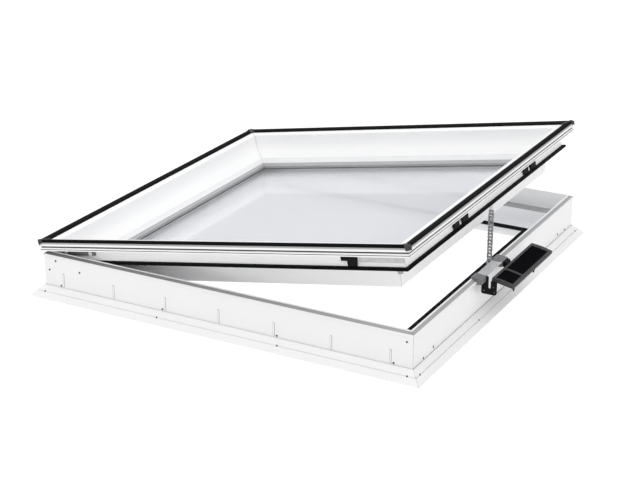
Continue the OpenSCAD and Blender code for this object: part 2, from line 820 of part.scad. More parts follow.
module cap_body(grow) {
    outer = -(sash_out + 1) * sqrt(2);
    rotate([90, 0, 0]) translate([0, 0, -cap_w / 2 - grow]) linear_extrude(cap_w + 2 * grow)
        polygon([
            [outer, sash_top - 9], [outer, sash_top + 6.5 + grow], [outer + 3, sash_top + 8 + grow],
            [16, sash_top + 6 + grow], [32 + grow, sash_top + 2 + grow], [32 + grow, sash_top - 0.4],
            [-4, sash_top + 0.2], [-9.7, sash_top - 8]
        ]);
}

module top_seal_section() {
    polygon(rounded([
        [-4, sash_top], [-6.6, sash_top], [-6.6, sash_top + 5, 1], [-4.5, sash_top + 6.6, 1],
        [8, sash_top + 4.4, 4], [21, sash_top - 0.4], [21, sash_top - 1]
    ]));
}

module top_seal() {
    color(black_rubber) opened() difference() {
        ring() top_seal_section();
        for (c = cap_turns) cap_place(c[1], c[2], c[3]) translate([-30, -cap_w / 2 - 0.2, 0])
            cube([63, cap_w + 0.4, sash_top + 40]);
    }
}

module corner_cap(name) {
    for (c = cap_turns) if (c[0] == name)
        color(charcoal) opened() difference() {
            cap_place(c[1], c[2], c[3]) cap_body(0);
            ring() sash_section_solid();
        }
}

// Sash section without its chambers, to fit the corner caps to it
module sash_section_solid() {
    polygon([
        [-4, sash_top + 0.05], [-sash_out - 0.05, sash_top - 7.5], [-sash_out - 0.05, ledge_z],
        [channel_depth, ledge_z], [reveal_depth, ledge_z], [reveal_depth, sash_top - 4], [21, sash_top - 0.95]
    ]);
}

module lower_seal() {
    color(black_rubber) opened() difference() {
        ring() polygon(rounded([
            [underside_depth, underside_z + 6], [20, underside_z + 4.4, 1], [18.8, underside_z + 0.5, 1],
            [20.5, underside_z - 4.6, 1], [underside_depth - 0.4, underside_z - 4.6],
            [underside_depth, underside_z]
        ]));
        for (end = ["front", "back"]) hinge_end(end)
            translate([-half_l, -half_w, underside_z - 5])
                cube([half_l + pivot_x - bracket_end + bracket_l + 8, rim_depth + bracket_t + 0.7, 20]);
        translate([yoke_x0 - yoke_w, -yoke_t, underside_z - 6]) cube([1.5 * yoke_w + 0.5, 2 * yoke_t, 6.1]);
    }
}

// Clip in the sash's channel that holds the cover above: a plate with proud blocks.
// The parts are the plate's length, its top over the underside, and the two ends of each block
module cover_clip(side, at, parts) {
    clip_top = underside_z + parts[1];
    along(side, at, at + parts[0]) translate([channel_depth - clip_t, clip_z])
        square([clip_t, clip_top - clip_z]);
    for (k = [2:len(parts) - 1])
        along(side, at + parts[k][0], at + parts[k][1]) polygon([
            [channel_depth - clip_proud, clip_foot], [underside_depth - 0.2, clip_foot],
            [underside_depth - 0.2, clip_z], [channel_depth, clip_z], [channel_depth, clip_top],
            [channel_depth - clip_proud, clip_top]
        ]);
}

module cover_clips() {
    color(dark_steel) opened() for (c = clip_at) cover_clip(c[0], c[1], c[2]);
}

module locating_pegs() {
    color([0.6, 0.6, 0.62]) opened()
        for (s = [-1, 1])
            translate([half_l - peg_depth_x, s * (half_w - peg_depth_y), underside_z - peg_h])
                rotate_extrude() polygon([
                    [0, 0], [8, 0], [12, peg_h - 3], [peg_r, peg_h - 3], [peg_r, peg_h], [0, peg_h]
                ]);
}

module sash_screws() {
    color(dark_steel) opened() {
        for (end = ["front", "back"]) hinge_end(end)
            for (dx = arm_screws)
                translate([pivot_x + dx, -half_w + arm_m - head_t - 0.1, pivot_z - arm_drop])
                rotate([-90, 0, 0]) {
                    cylinder(r = head_r, h = head_t);
                    cylinder(r = screw_r, h = arm_t + wall + screw_tip);
                }
        for (y = [-bracket_screw_y, bracket_screw_y])
            translate([bracket_screw_x, y, underside_z - bracket_plate - head_t - 0.1]) {
                cylinder(r = head_r, h = head_t);
                cylinder(r = screw_r, h = bracket_plate + wall + screw_tip);
            }
    }
}

kerb_rail("front");  // kerb_rail_front
kerb_rail("back");  // kerb_rail_back
kerb_rail("hinge");  // kerb_rail_hinge
kerb_rail("opening");  // kerb_rail_opening
flange("front");  // flange_front
flange("back");  // flange_back
flange("hinge");  // flange_hinge
flange("opening");  // flange_opening
frame_screws();
seat_seal();
shaft_seal();
hinge_bracket("front");  // hinge_bracket_front
hinge_bracket("back");  // hinge_bracket_back
hinge_pin("front");  // hinge_pin_front
hinge_pin("back");  // hinge_pin_back
hinge_arm("front");  // hinge_arm_front
hinge_arm("back");  // hinge_arm_back
actuator_housing();
actuator_cover();
gearmotor();
control_board();
battery_pack();
output_shaft();
sprocket();
chain();
chain_yoke();
yoke_pin();
chain_bracket();
saddle_near();
saddle_far();
rim_plate();
panel_clamp();
panel_frame();
panel_cell(panel_near_y + cell_near, panel_near_y + cell_split);  // panel_cell_small
panel_cell(panel_near_y + cell_split + cell_bar, panel_far_y - cell_far);  // panel_cell_large
panel_back();
panel_pins();
sash_rail("front");  // sash_rail_front
sash_rail("back");  // sash_rail_back
sash_rail("hinge");  // sash_rail_hinge
sash_rail("opening");  // sash_rail_opening
bead("front");  // bead_front
bead("back");  // bead_back
bead("hinge");  // bead_hinge
bead("opening");  // bead_opening
glass_outer();
glass_inner();
spacer_bar();
edge_seal();
glazing_seal();
top_seal();
corner_cap("fl");  // corner_cap_fl
corner_cap("fr");  // corner_cap_fr
corner_cap("bl");  // corner_cap_bl
corner_cap("br");  // corner_cap_br
lower_seal();
cover_clips();
locating_pegs();
sash_screws();
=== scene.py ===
"""Looks of a roof skylight: a square plastic kerb, a glazed sash hinged open on it, and a solar driven chain."""

import json
import math

import bmesh
import bpy
from mathutils import Matrix, Vector


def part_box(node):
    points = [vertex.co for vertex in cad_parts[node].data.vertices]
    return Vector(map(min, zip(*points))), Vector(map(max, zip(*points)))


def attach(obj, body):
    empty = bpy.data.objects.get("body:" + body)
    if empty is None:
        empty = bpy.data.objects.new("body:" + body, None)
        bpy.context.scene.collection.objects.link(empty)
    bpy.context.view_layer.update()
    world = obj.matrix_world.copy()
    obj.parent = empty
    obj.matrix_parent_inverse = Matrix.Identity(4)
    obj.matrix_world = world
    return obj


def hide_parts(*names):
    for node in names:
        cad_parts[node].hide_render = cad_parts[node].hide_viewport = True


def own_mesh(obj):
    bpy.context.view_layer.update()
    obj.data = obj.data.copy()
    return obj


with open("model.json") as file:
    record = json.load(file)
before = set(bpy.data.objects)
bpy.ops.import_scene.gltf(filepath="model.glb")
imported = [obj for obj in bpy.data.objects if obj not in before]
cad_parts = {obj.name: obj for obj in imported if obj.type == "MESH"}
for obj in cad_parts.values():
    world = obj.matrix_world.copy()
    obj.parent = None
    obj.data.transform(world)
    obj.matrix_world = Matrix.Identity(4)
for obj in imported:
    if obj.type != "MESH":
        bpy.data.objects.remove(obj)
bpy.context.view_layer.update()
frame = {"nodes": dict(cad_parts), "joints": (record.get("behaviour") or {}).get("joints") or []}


# ---- Camera, floor and lights ----
# The view is from the front right and a little above, with a long lens.
# The floor is pale and glows a little, as a lit table does, and broad lamps stand in front and above.

LENS, CAMERA_PLACE, FROM_TARGET = 90, (2.549, -4.722, 2.219), (0.4418, -0.8177, 0.3691)
camera = bpy.data.objects.new("camera", bpy.data.cameras.new("camera"))
camera.data.lens = LENS
camera.location = CAMERA_PLACE
camera.rotation_euler = Vector(FROM_TARGET).to_track_quat("Z", "Y").to_euler()
bpy.context.scene.collection.objects.link(camera)
bpy.context.scene.camera = camera
bpy.context.scene.view_settings.view_transform = "Standard"


def lamp(name, place, target, size, watts):
    """Square lamp at a place, turned to face a target."""
    data = bpy.data.lights.new(name, "AREA")
    data.size = size
    data.energy = watts
    light = bpy.data.objects.new(name, data)
    light.location = place
    light.rotation_euler = (Vector(place) - Vector(target)).to_track_quat("Z", "Y").to_euler()
    bpy.context.scene.collection.objects.link(light)


LIT_POINT = (0, 0, 0.1)
lamp("front_lamp", (-0.8, -3.8, 3.6), LIT_POINT, 2.0, 14)
lamp("top_lamp", (0.6, 1.6, 4.2), LIT_POINT, 3.0, 10)

sky = bpy.data.worlds.new("sky")
sky.use_nodes = True
nodes, links = sky.node_tree.nodes, sky.node_tree.links
height = nodes.new("ShaderNodeSeparateXYZ")
links.new(nodes.new("ShaderNodeTexCoord").outputs["Generated"], height.inputs[0])
glow = nodes.new("ShaderNodeMapRange")
glow.inputs["From Max"].default_value = 0.85
glow.inputs["To Min"].default_value = 0.42
glow.inputs["To Max"].default_value = 1.25
links.new(height.outputs["Z"], glow.inputs["Value"])
links.new(glow.outputs["Result"], nodes["Background"].inputs["Strength"])
nodes["Background"].inputs["Color"].default_value = (1, 1, 1, 1)
bpy.context.scene.world = sky

floor_finish = bpy.data.materials.new("floor_finish")
floor_finish.use_nodes = True
floor_shader = floor_finish.node_tree.nodes["Principled BSDF"]
floor_shader.inputs["Base Color"].default_value = (0.06, 0.06, 0.06, 1)
floor_shader.inputs["Roughness"].default_value = 0.9
floor_shader.inputs["Emission Color"].default_value = (1, 1, 1, 1)
floor_shader.inputs["Emission Strength"].default_value = 1.02
bpy.ops.mesh.primitive_plane_add(size=60, location=(0, 0, -0.0005))
floor = bpy.context.object
floor.name = "floor"
floor.data.materials.append(floor_finish)


# ---- Kerb ----
# Four hollow white plastic profiles, sawn on the diagonal and welded at the corners, with a fine groove at
# each weld. The opening side's profile has a long pocket in its seat that takes the actuator.

MM = 0.001
SIDES = ("front", "opening", "back", "hinge")
CORNERS = ((-1, -1), (1, -1), (1, 1), (-1, 1))
RIM_OUT, RIM_DEPTH, RIM_H, LIP_Z = 5, 17, 150, 159.5
SEAT_Z, SEAT_DEPTH, SHAFT_DEPTH, SHAFT_FLOOR = 95, 74, 126, 33
POCKET_FLOOR, POCKET_SLACK = 35.7, 0.3
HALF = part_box("kerb_rail_front")[1].x / MM - RIM_OUT
WELD_GAP = 0.4


def finish(name, low, high, rough=(0.3, 0.45), metallic=0.0, shine=0.5, drift=6, grain=900, depth=0.02,
           stretch=(1, 1, 1)):
    """Material whose colour and roughness drift between two values, with a fine grain in the surface."""
    material = bpy.data.materials.new(name)
    material.use_nodes = True
    nodes, links = material.node_tree.nodes, material.node_tree.links
    shader = nodes["Principled BSDF"]
    shader.inputs["Metallic"].default_value = metallic
    shader.inputs["Specular IOR Level"].default_value = shine
    place = nodes.new("ShaderNodeTexCoord").outputs["Object"]
    scaled = nodes.new("ShaderNodeMapping")
    scaled.inputs["Scale"].default_value = stretch
    links.new(place, scaled.inputs["Vector"])
    cloud = nodes.new("ShaderNodeTexNoise")
    cloud.inputs["Scale"].default_value = drift
    cloud.inputs["Detail"].default_value = 4
    links.new(place, cloud.inputs["Vector"])
    tint = nodes.new("ShaderNodeMix")
    tint.data_type = "RGBA"
    tint.inputs["A"].default_value = (*low, 1)
    tint.inputs["B"].default_value = (*high, 1)
    links.new(cloud.outputs["Fac"], tint.inputs["Factor"])
    links.new(tint.outputs["Result"], shader.inputs["Base Color"])
    fine = nodes.new("ShaderNodeTexNoise")
    fine.inputs["Scale"].default_value = grain
    fine.inputs["Detail"].default_value = 3
    links.new(scaled.outputs["Vector"], fine.inputs["Vector"])
    sheen = nodes.new("ShaderNodeMapRange")
    sheen.inputs["To Min"].default_value, sheen.inputs["To Max"].default_value = rough
    links.new(fine.outputs["Fac"], sheen.inputs["Value"])
    links.new(sheen.outputs["Result"], shader.inputs["Roughness"])
    relief = nodes.new("ShaderNodeBump")
    relief.inputs["Strength"].default_value = depth * 10
    relief.inputs["Distance"].default_value = 0.0002
    links.new(fine.outputs["Fac"], relief.inputs["Height"])
    links.new(relief.outputs["Normal"], shader.inputs["Normal"])
    return material


white_plastic = finish(
    "white_plastic", (0.86, 0.86, 0.865), (0.9, 0.9, 0.9), (0.28, 0.4), grain=40, depth=0.012, stretch=(0.4, 0.4, 22)
)


def rounded(path, steps=4):
    """Outline of (m, z) points in millimetres, where a third number rounds a corner."""
    outline = []
    for i, corner in enumerate(path):
        at = Vector(corner[:2])
        if len(corner) == 2:
            outline.append(at)
            continue
        before = (Vector(path[i - 1][:2]) - at).normalized()
        after = (Vector(path[(i + 1) % len(path)][:2]) - at).normalized()
        half = before.angle(after) / 2
        centre = at + (before + after).normalized() * corner[2] / math.sin(half)
        start = at + before * corner[2] / math.tan(half) - centre
        end = at + after * corner[2] / math.tan(half) - centre
        first = math.atan2(start.y, start.x)
        turn = (math.atan2(end.y, end.x) - first + 3 * math.pi) % (2 * math.pi) - math.pi
        for k in range(steps + 1):
            angle = first + turn * k / steps
            outline.append(centre + corner[2] * Vector((math.cos(angle), math.sin(angle))))
    return outline


def corner_point(corner, m, z):
    """Point over a corner's diagonal, m millimetres inwards from the kerb's outer walls."""
    return Vector((CORNERS[corner][0] * (HALF - m), CORNERS[corner][1] * (HALF - m), z)) * MM


def solid(name, verts, faces, place=None):
    """Mesh object with its faces turned outwards and its place in its mesh."""
    mesh = bpy.data.meshes.new(name)
    mesh.from_pydata([tuple(v) for v in verts], [], faces)
    shape = bmesh.new()
    shape.from_mesh(mesh)
    bmesh.ops.remove_doubles(shape, verts=shape.verts, dist=1e-7)
    bmesh.ops.recalc_face_normals(shape, faces=shape.faces)
    shape.to_mesh(mesh)
    shape.free()
    if place is not None:
        mesh.transform(place)
    mesh.polygons.foreach_set("use_smooth", [True] * len(mesh.polygons))
    piece = bpy.data.objects.new(name, mesh)
    bpy.context.scene.collection.objects.link(piece)
    return piece


def bar(name, section, side, gap=WELD_GAP, place=None):
    """Closed bar of a section along one side, with its ends cut on the diagonals."""
    first, n = SIDES.index(side), len(section)
    run = (corner_point((first + 1) % 4, 0, 0) - corner_point(first, 0, 0)).normalized() * gap * MM
    verts = [corner_point(first, *p) + run for p in section]
    verts += [corner_point((first + 1) % 4, *p) - run for p in section]
    faces = [(i, (i + 1) % n, n + (i + 1) % n, n + i) for i in range(n)]
    return solid(name, verts, faces + [tuple(range(n)), tuple(range(2 * n - 1, n - 1, -1))], place)


def block(name, low, high, place=None):
    """Box between two corners in millimetres, as a tool to cut or join with."""
    verts = [Vector((x, y, z)) * MM for x in (low[0], high[0]) for y in (low[1], high[1]) for z in (low[2], high[2])]
    faces = [(0, 1, 3, 2), (4, 6, 7, 5), (0, 4, 5, 1), (2, 3, 7, 6), (0, 2, 6, 4), (1, 5, 7, 3)]
    return solid(name, verts, faces, place)


def settle(piece):
    """Makes a piece's modifiers part of its mesh."""
    done = bpy.data.meshes.new_from_object(piece.evaluated_get(bpy.context.evaluated_depsgraph_get()))
    piece.modifiers.clear()
    piece.data = done


def cut(piece, *tools):
    """Takes each tool's shape away from a piece, and removes the tool."""
    for tool in tools:
        away = piece.modifiers.new("cut", "BOOLEAN")
        away.operation = "DIFFERENCE"
        away.solver = "EXACT"
        away.object = tool
    settle(piece)
    for tool in tools:
        bpy.data.objects.remove(tool)


def soften(piece, width, segments=2, angle=28):
    """Rounds a piece's sharp edges by a width in millimetres."""
    edge = piece.modifiers.new("edge", "BEVEL")
    edge.width = width * MM
    edge.segments = segments
    edge.limit_method = "ANGLE"
    edge.angle_limit = math.radians(angle)
    edge.harden_normals = True
    settle(piece)


def line_with(piece, spots, place=None):
    """Puts extra materials on the faces of a bar whose middles lie in boxes of (m, z): grey inlays, and painted shade
    in grooves, gaps and on chamfers.

    Each spot is a low corner, a high corner and the number of the material, counted from 1.
    """
    back = place.inverted() if place is not None else Matrix()
    for face in piece.data.polygons:
        middle = back @ face.center / MM
        m = HALF - max(abs(middle.x), abs(middle.y))
        for low, high, number in spots:
            if low[0] < m < high[0] and low[1] < middle.z < high[1]:
                face.material_index = number


def shade_ends(piece, number, place=None, slack=0.02):
    """Puts a dark material on the diagonal end faces of a bar as painted shade in the weld gap, which shows as a fine
    line at the weld.
    """
    back = place.inverted().to_3x3() if place is not None else Matrix.Identity(3)
    for face in piece.data.polygons:
        across = back @ face.normal
        if abs(abs(across.x) - abs(across.y)) < slack and abs(across.z) < slack:
            face.material_index = number


def hand_over(piece, material, body, slot, *nodes, inlays_and_shades=()):
    """Gives a finished piece its main material, its extra materials, its body and the nodes it stands for; the slot is
    not used.
    """
    # The extra materials are grey inlays and painted shade for grooves, gaps and chamfers.
    piece.data.materials.clear()
    for part in (material, *inlays_and_shades):
        piece.data.materials.append(part)
    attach(piece, body)
    if nodes:
        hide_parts(*nodes)


RIM_STRIP = 10.6
# A near-black used as painted shade in crevices: the welds' end faces, the flange's grooves and bores, and thin plates
# round the ribs.
painted_crevice_shade = finish("painted_crevice_shade", (0.08, 0.08, 0.082), (0.12, 0.12, 0.122), (0.6, 0.8), shine=0.2)
# The rim strip is a grey inlay on the rim's slope. Its colour is also scaled down along x towards the hinge side, as
# painted shade from the sash above.
rim_strip_painted_shade = finish("rim_strip_painted_shade", (0.42, 0.42, 0.425), (0.47, 0.47, 0.475), (0.45, 0.6), shine=0.3, grain=500)
strip_nodes, strip_links = rim_strip_painted_shade.node_tree.nodes, rim_strip_painted_shade.node_tree.links
strip_place = strip_nodes.new("ShaderNodeSeparateXYZ")
strip_links.new(strip_nodes.new("ShaderNodeTexCoord").outputs["Object"], strip_place.inputs[0])
painted_shade_tone = strip_nodes.new("ShaderNodeMapRange")
painted_shade_tone.inputs["From Min"].default_value, painted_shade_tone.inputs["From Max"].default_value = -0.66, 0.6
painted_shade_tone.inputs["To Min"].default_value, painted_shade_tone.inputs["To Max"].default_value = 0.36, 0.9
strip_links.new(strip_place.outputs["X"], painted_shade_tone.inputs["Value"])
painted_shade_tint = strip_nodes.new("ShaderNodeVectorMath")
painted_shade_tint.operation = "SCALE"
strip_links.new(next(node for node in strip_nodes if node.type == "MIX").outputs["Result"], painted_shade_tint.inputs[0])
strip_links.new(painted_shade_tone.outputs["Result"], painted_shade_tint.inputs["Scale"])
strip_links.new(painted_shade_tint.outputs["Vector"], strip_nodes["Principled BSDF"].inputs["Base Color"])
kerb_section = rounded([
    (0, 0), (0, RIM_H - RIM_OUT), (-RIM_OUT, RIM_H - 4, 1), (-RIM_OUT, RIM_H, 1.5),
    (-0.9, RIM_H + 2.4), (-0.5, RIM_H + 2), (RIM_STRIP - 0.4, RIM_H + 7.5), (RIM_STRIP, RIM_H + 8.3),
    (RIM_DEPTH - 4, LIP_Z, 1), (RIM_DEPTH, LIP_Z, 1), (RIM_DEPTH, SEAT_Z, 1.5), (SEAT_DEPTH, SEAT_Z, 2),
    (SEAT_DEPTH, SHAFT_FLOOR, 22), (SHAFT_DEPTH, SHAFT_FLOOR, 1.5), (SHAFT_DEPTH, 0),
], 6)
cover_low, cover_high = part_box("actuator_cover")
for side in SIDES:
    rail = bar(f"kerb_{side}", kerb_section, side)
    if side == "opening":
        slack = Vector((POCKET_SLACK, POCKET_SLACK, 0)) * MM
        low, high = (cover_low - slack) / MM, (cover_high + slack) / MM
        cut(rail, block("pocket", (low.x, low.y, POCKET_FLOOR), (high.x, high.y, SEAT_Z + 5)))
    soften(rail, 0.4)
    hand_over(rail, white_plastic, "kerb", "white_pvc", f"kerb_rail_{side}", inlays_and_shades=(rim_strip_painted_shade, painted_crevice_shade))
    # The rim's slope gets the grey strip with its painted shade.
    line_with(rail, [((-0.8, RIM_H), (RIM_STRIP - 0.1, LIP_Z), 1)])
    # The weld ends get painted shade in the weld gap.
    shade_ends(rail, 2)


# ---- Ribs on the kerb's walls ----
# Slim upright ribs moulded on the foot of the front and back walls, and two short slanted slots on each of
# the other walls. One tree sets a shape out on points, each with its own turn.


def new_tree(name, inputs):
    """Geometry tree with named inputs, its input node and its output node."""
    tree = bpy.data.node_groups.new(name, "GeometryNodeTree")
    tree.interface.new_socket("Geometry", in_out="INPUT", socket_type="NodeSocketGeometry")
    for label, kind in inputs:
        tree.interface.new_socket(label, in_out="INPUT", socket_type="NodeSocket" + kind)
    tree.interface.new_socket("Geometry", in_out="OUTPUT", socket_type="NodeSocketGeometry")
    return tree, tree.nodes.new("NodeGroupInput"), tree.nodes.new("NodeGroupOutput")


def close_tree(tree, shape, given, result):
    """Ends a tree with real geometry in the material that it is given."""
    real = tree.nodes.new("GeometryNodeRealizeInstances")
    painted = tree.nodes.new("GeometryNodeSetMaterial")
    tree.links.new(shape, real.inputs["Geometry"])
    tree.links.new(real.outputs["Geometry"], painted.inputs["Geometry"])
    tree.links.new(given.outputs["Material"], painted.inputs["Material"])
    tree.links.new(painted.outputs["Geometry"], result.inputs["Geometry"])


def grow(piece, tree, values):
    """Runs a tree on a piece with the values of its named inputs, and keeps the result."""
    growth = piece.modifiers.new("growth", "NODES")
    growth.node_group = tree
    for item in tree.interface.items_tree:
        if item.in_out == "INPUT" and item.name in values:
            growth[item.identifier] = values[item.name]
    settle(piece)


set_out, given, result = new_tree("set_out", [("Shape", "Object"), ("Scale", "Float"), ("Material", "Material")])
shape_info = set_out.nodes.new("GeometryNodeObjectInfo")
turn_name = set_out.nodes.new("GeometryNodeInputNamedAttribute")
turn_name.data_type = "QUATERNION"
turn_name.inputs["Name"].default_value = "turn"
copies = set_out.nodes.new("GeometryNodeInstanceOnPoints")
set_out.links.new(given.outputs["Shape"], shape_info.inputs["Object"])
set_out.links.new(given.outputs["Geometry"], copies.inputs["Points"])
set_out.links.new(shape_info.outputs["Geometry"], copies.inputs["Instance"])
set_out.links.new(turn_name.outputs["Attribute"], copies.inputs["Rotation"])
set_out.links.new(given.outputs["Scale"], copies.inputs["Scale"])
close_tree(set_out, copies.outputs["Instances"], given, result)


def spread(name, shape, places, material, scale=1.0):
    """Copies of a shape at each of some places, as one piece. The shape itself is removed."""
    mesh = bpy.data.meshes.new(name)
    mesh.from_pydata([tuple(p.translation) for p in places], [], [])
    turns = mesh.attributes.new("turn", "QUATERNION", "POINT")
    for value, p in zip(turns.data, places):
        value.value = p.to_quaternion()
    piece = bpy.data.objects.new(name, mesh)
    bpy.context.scene.collection.objects.link(piece)
    grow(piece, set_out, {"Shape": shape, "Scale": scale, "Material": material})
    bpy.data.objects.remove(shape)
    return piece


def on_wall(side, along, z, m=0):
    """Place on a side's wall: x runs along the wall, y points outwards and z points up."""
    turn = Matrix.Rotation(math.pi / 2 * SIDES.index(side), 4, "Z")
    face = Matrix.Rotation(math.pi, 4, "Z")
    return turn @ Matrix.Translation(Vector((along, m - HALF, z)) * MM) @ face


def extruded(name, outline, low, high, place=None):
    """Outline of (across, up) points in millimetres, extruded along y from low to high."""
    n = len(outline)
    verts = [Vector((p[0], y, p[1])) * MM for y in (low, high) for p in outline]
    faces = [(i, (i + 1) % n, n + (i + 1) % n, n + i) for i in range(n)]
    return solid(name, verts, faces + [tuple(range(n)), tuple(range(2 * n - 1, n - 1, -1))], place)


FLANGE = 40
RIB_COUNT, RIB_W, RIB_H, RIB_PROUD, RIB_GAP, SHADE_PLATE_PROUD = 7, 5, 49, 1.2, 0.9, 0.15
RIB_PITCH = 2 * HALF * 0.1483
SINK = -0.5
rib = extruded("rib", rounded([
    (-RIB_W / 2, 0), (RIB_W / 2, 0), (RIB_W / 2, RIB_H, 2.4), (-RIB_W / 2, RIB_H, 2.4)
], 5), SINK, RIB_PROUD)
soften(rib, 0.5)
# Each rib stands on a slightly larger thin plate in dark grey, which is painted shade round the rib.
rib_joint = extruded("rib_joint", rounded([
    (-RIB_W / 2 - RIB_GAP, 0), (RIB_W / 2 + RIB_GAP, 0), (RIB_W / 2 + RIB_GAP, RIB_H + RIB_GAP, 3),
    (-RIB_W / 2 - RIB_GAP, RIB_H + RIB_GAP, 3)
], 5), SINK, SHADE_PLATE_PROUD)
rib_places = [
    on_wall(side, (k - (RIB_COUNT - 1) / 2) * RIB_PITCH, FLANGE)
    for side in ("front", "back") for k in range(RIB_COUNT)
]
ribs = spread("wall_ribs", rib, rib_places, white_plastic)
hand_over(ribs, white_plastic, "kerb", "white_pvc")
rib_joints = spread("rib_joints", rib_joint, rib_places, painted_crevice_shade)
hand_over(rib_joints, painted_crevice_shade, "kerb", "grey_plastic")

SLOT_PLACE, SLOT_Z, SLOT_LEAN = 550, 51, 35
SLOT_HALF_W, SLOT_HALF_L, SLOT_ROUND, SLOT_PROUD = 2.6, 7.5, 2.5, 0.8
slot_mark = extruded("slot_mark", rounded([
    (-SLOT_HALF_W, -SLOT_HALF_L, SLOT_ROUND), (SLOT_HALF_W, -SLOT_HALF_L, SLOT_ROUND),
    (SLOT_HALF_W, SLOT_HALF_L, SLOT_ROUND), (-SLOT_HALF_W, SLOT_HALF_L, SLOT_ROUND),
], 4), SINK, SLOT_PROUD)
soften(slot_mark, 0.3)
# Each slot is drawn as a thin raised mark in dark grey, which is painted shade of the slot's hollow.
painted_slot_shade = finish("painted_slot_shade", (0.16, 0.16, 0.165), (0.2, 0.2, 0.205), (0.5, 0.65))
slot_places = [
    on_wall(side, s * SLOT_PLACE, SLOT_Z) @ Matrix.Rotation(math.radians(SLOT_LEAN), 4, "Y")
    for side in ("opening", "hinge") for s in (-1, 1)
]
slot_marks = spread("wall_slots", slot_mark, slot_places, painted_slot_shade)
hand_over(slot_marks, painted_slot_shade, "kerb", "dark_steel")


# ---- Foot flange ----
# A sloping plastic foot on each side, with a V groove halfway up that the fixing screws go through.
# The bars are mitred like the kerb and bored along the groove.



def circle(radius, sides):
    """Round outline of (across, up) points in millimetres."""
    return [(radius * math.cos(k * math.tau / sides), radius * math.sin(k * math.tau / sides)) for k in range(sides)]


NOTCH = FLANGE / 2
FIXING_R, FIXING_SIDES, FIXING_INSET, FIXING_SHARE, DRILL_FROM = 2.75, 20, 10, 23 / 140, -5
flange_section = rounded([
    (0, 0), (-FLANGE, 0), (-FLANGE, 1.5, 0.6), (-NOTCH - 0.9, NOTCH - 0.9), (-NOTCH - 0.7, NOTCH - 2.4),
    (-NOTCH + 0.6, NOTCH - 2.4), (-NOTCH + 0.8, NOTCH + 0.8), (-2.3, FLANGE - 2.3), (-2.1, FLANGE - 5),
    (0, FLANGE - 5),
])
for side in SIDES:
    foot = bar(f"flange_bar_{side}", flange_section, side)
    drills = []
    for along in (HALF - FIXING_INSET, 2 * HALF * FIXING_SHARE):
        for s in (-1, 1):
            upright = on_wall(side, s * along, 0, -NOTCH) @ Matrix.Rotation(math.pi / 2, 4, "X")
            drills.append(extruded("drill", circle(FIXING_R, FIXING_SIDES), DRILL_FROM, FLANGE, upright))
    cut(foot, *drills)
    soften(foot, 0.2)
    hand_over(foot, white_plastic, "kerb", "white_pvc", f"flange_{side}", inlays_and_shades=(painted_crevice_shade,))
    # The V groove, the gap at the wall's foot, the bores' walls and the weld ends get painted shade.
    line_with(foot, [
        ((-NOTCH - 0.5, NOTCH - 4), (-NOTCH + 0.4, NOTCH - 2.2), 1), ((-2.18, 34), (0.1, FLANGE), 1),
        ((-NOTCH - 2.8, 1), (-NOTCH + 2.8, NOTCH - 4.5), 1),
    ])
    shade_ends(foot, 1)


# ---- Screws of the kerb ----
# Dark coated pan head screws with a cross recess, in the walls' foot, beside the hinges and near one corner.

dark_coat = finish("dark_coat", (0.05, 0.05, 0.053), (0.08, 0.08, 0.084), (0.4, 0.6), shine=0.3, drift=120)
SCREW_HEAD_R, SCREW_HEAD_T = 3.4, 1.6


def pan_screw(name, radius=SCREW_HEAD_R, height=SCREW_HEAD_T):
    """Pan head with a cross recess, whose top looks along y."""
    profile = [
        (radius, 0), (radius, height * 0.35), (radius * 0.86, height * 0.8), (radius * 0.55, height), (0, height)
    ]
    count = 24
    verts = [
        Vector((r * math.cos(k * math.tau / count), h, r * math.sin(k * math.tau / count))) * MM
        for r, h in profile[:-1] for k in range(count)
    ]
    rows = len(profile) - 1
    faces = [
        (row * count + k, row * count + (k + 1) % count, (row + 1) * count + (k + 1) % count, (row + 1) * count + k)
        for row in range(rows - 1) for k in range(count)
    ]
    faces += [tuple(range(count)), tuple((rows - 1) * count + k for k in range(count))]
    head = solid(name, verts, faces)
    arm, slit, depth = radius * 0.5, radius * 0.13, height * 0.4
    cut(head, block("cross", (-arm, depth, -slit), (arm, height + 1, slit)),
        block("cross", (-slit, depth, -arm), (slit, height + 1, arm)))
    head.data.set_sharp_from_angle(angle=math.radians(35))
    return head


RIB_SCREW_GAP, FOOT_SCREW_Z, SIDE_SCREW_INSET = 11, FLANGE + 4, 75
HINGE_SCREWS, CORNER_SCREW = ((48, 132), (147, 108), (20, 95)), (22, 125)
wall_screws = []
for side, away in (("front", -1), ("back", 1)):
    wall_screws += [(side, k * RIB_PITCH + math.copysign(RIB_SCREW_GAP, k), FOOT_SCREW_Z) for k in (-3, -1, 1, 3)]
    wall_screws += [(side, away * (HALF - x), z) for x, z in HINGE_SCREWS]
    wall_screws.append((side, -away * (HALF - CORNER_SCREW[0]), CORNER_SCREW[1]))
for side in ("opening", "hinge"):
    wall_screws += [(side, s * (HALF - SIDE_SCREW_INSET), FOOT_SCREW_Z) for s in (-1, 1)]
screws = spread("frame_screw_heads", pan_screw("screw"), [on_wall(*s) for s in wall_screws], dark_coat)
hand_over(screws, dark_coat, "kerb", "dark_steel", "frame_screws")


# ---- Kerb seals ----
# A flat soft grey seal lies on three sides of the seat. The opening side's seat carries the actuator's cover.
# A flat black lip seal with a fine groove runs round the light opening.

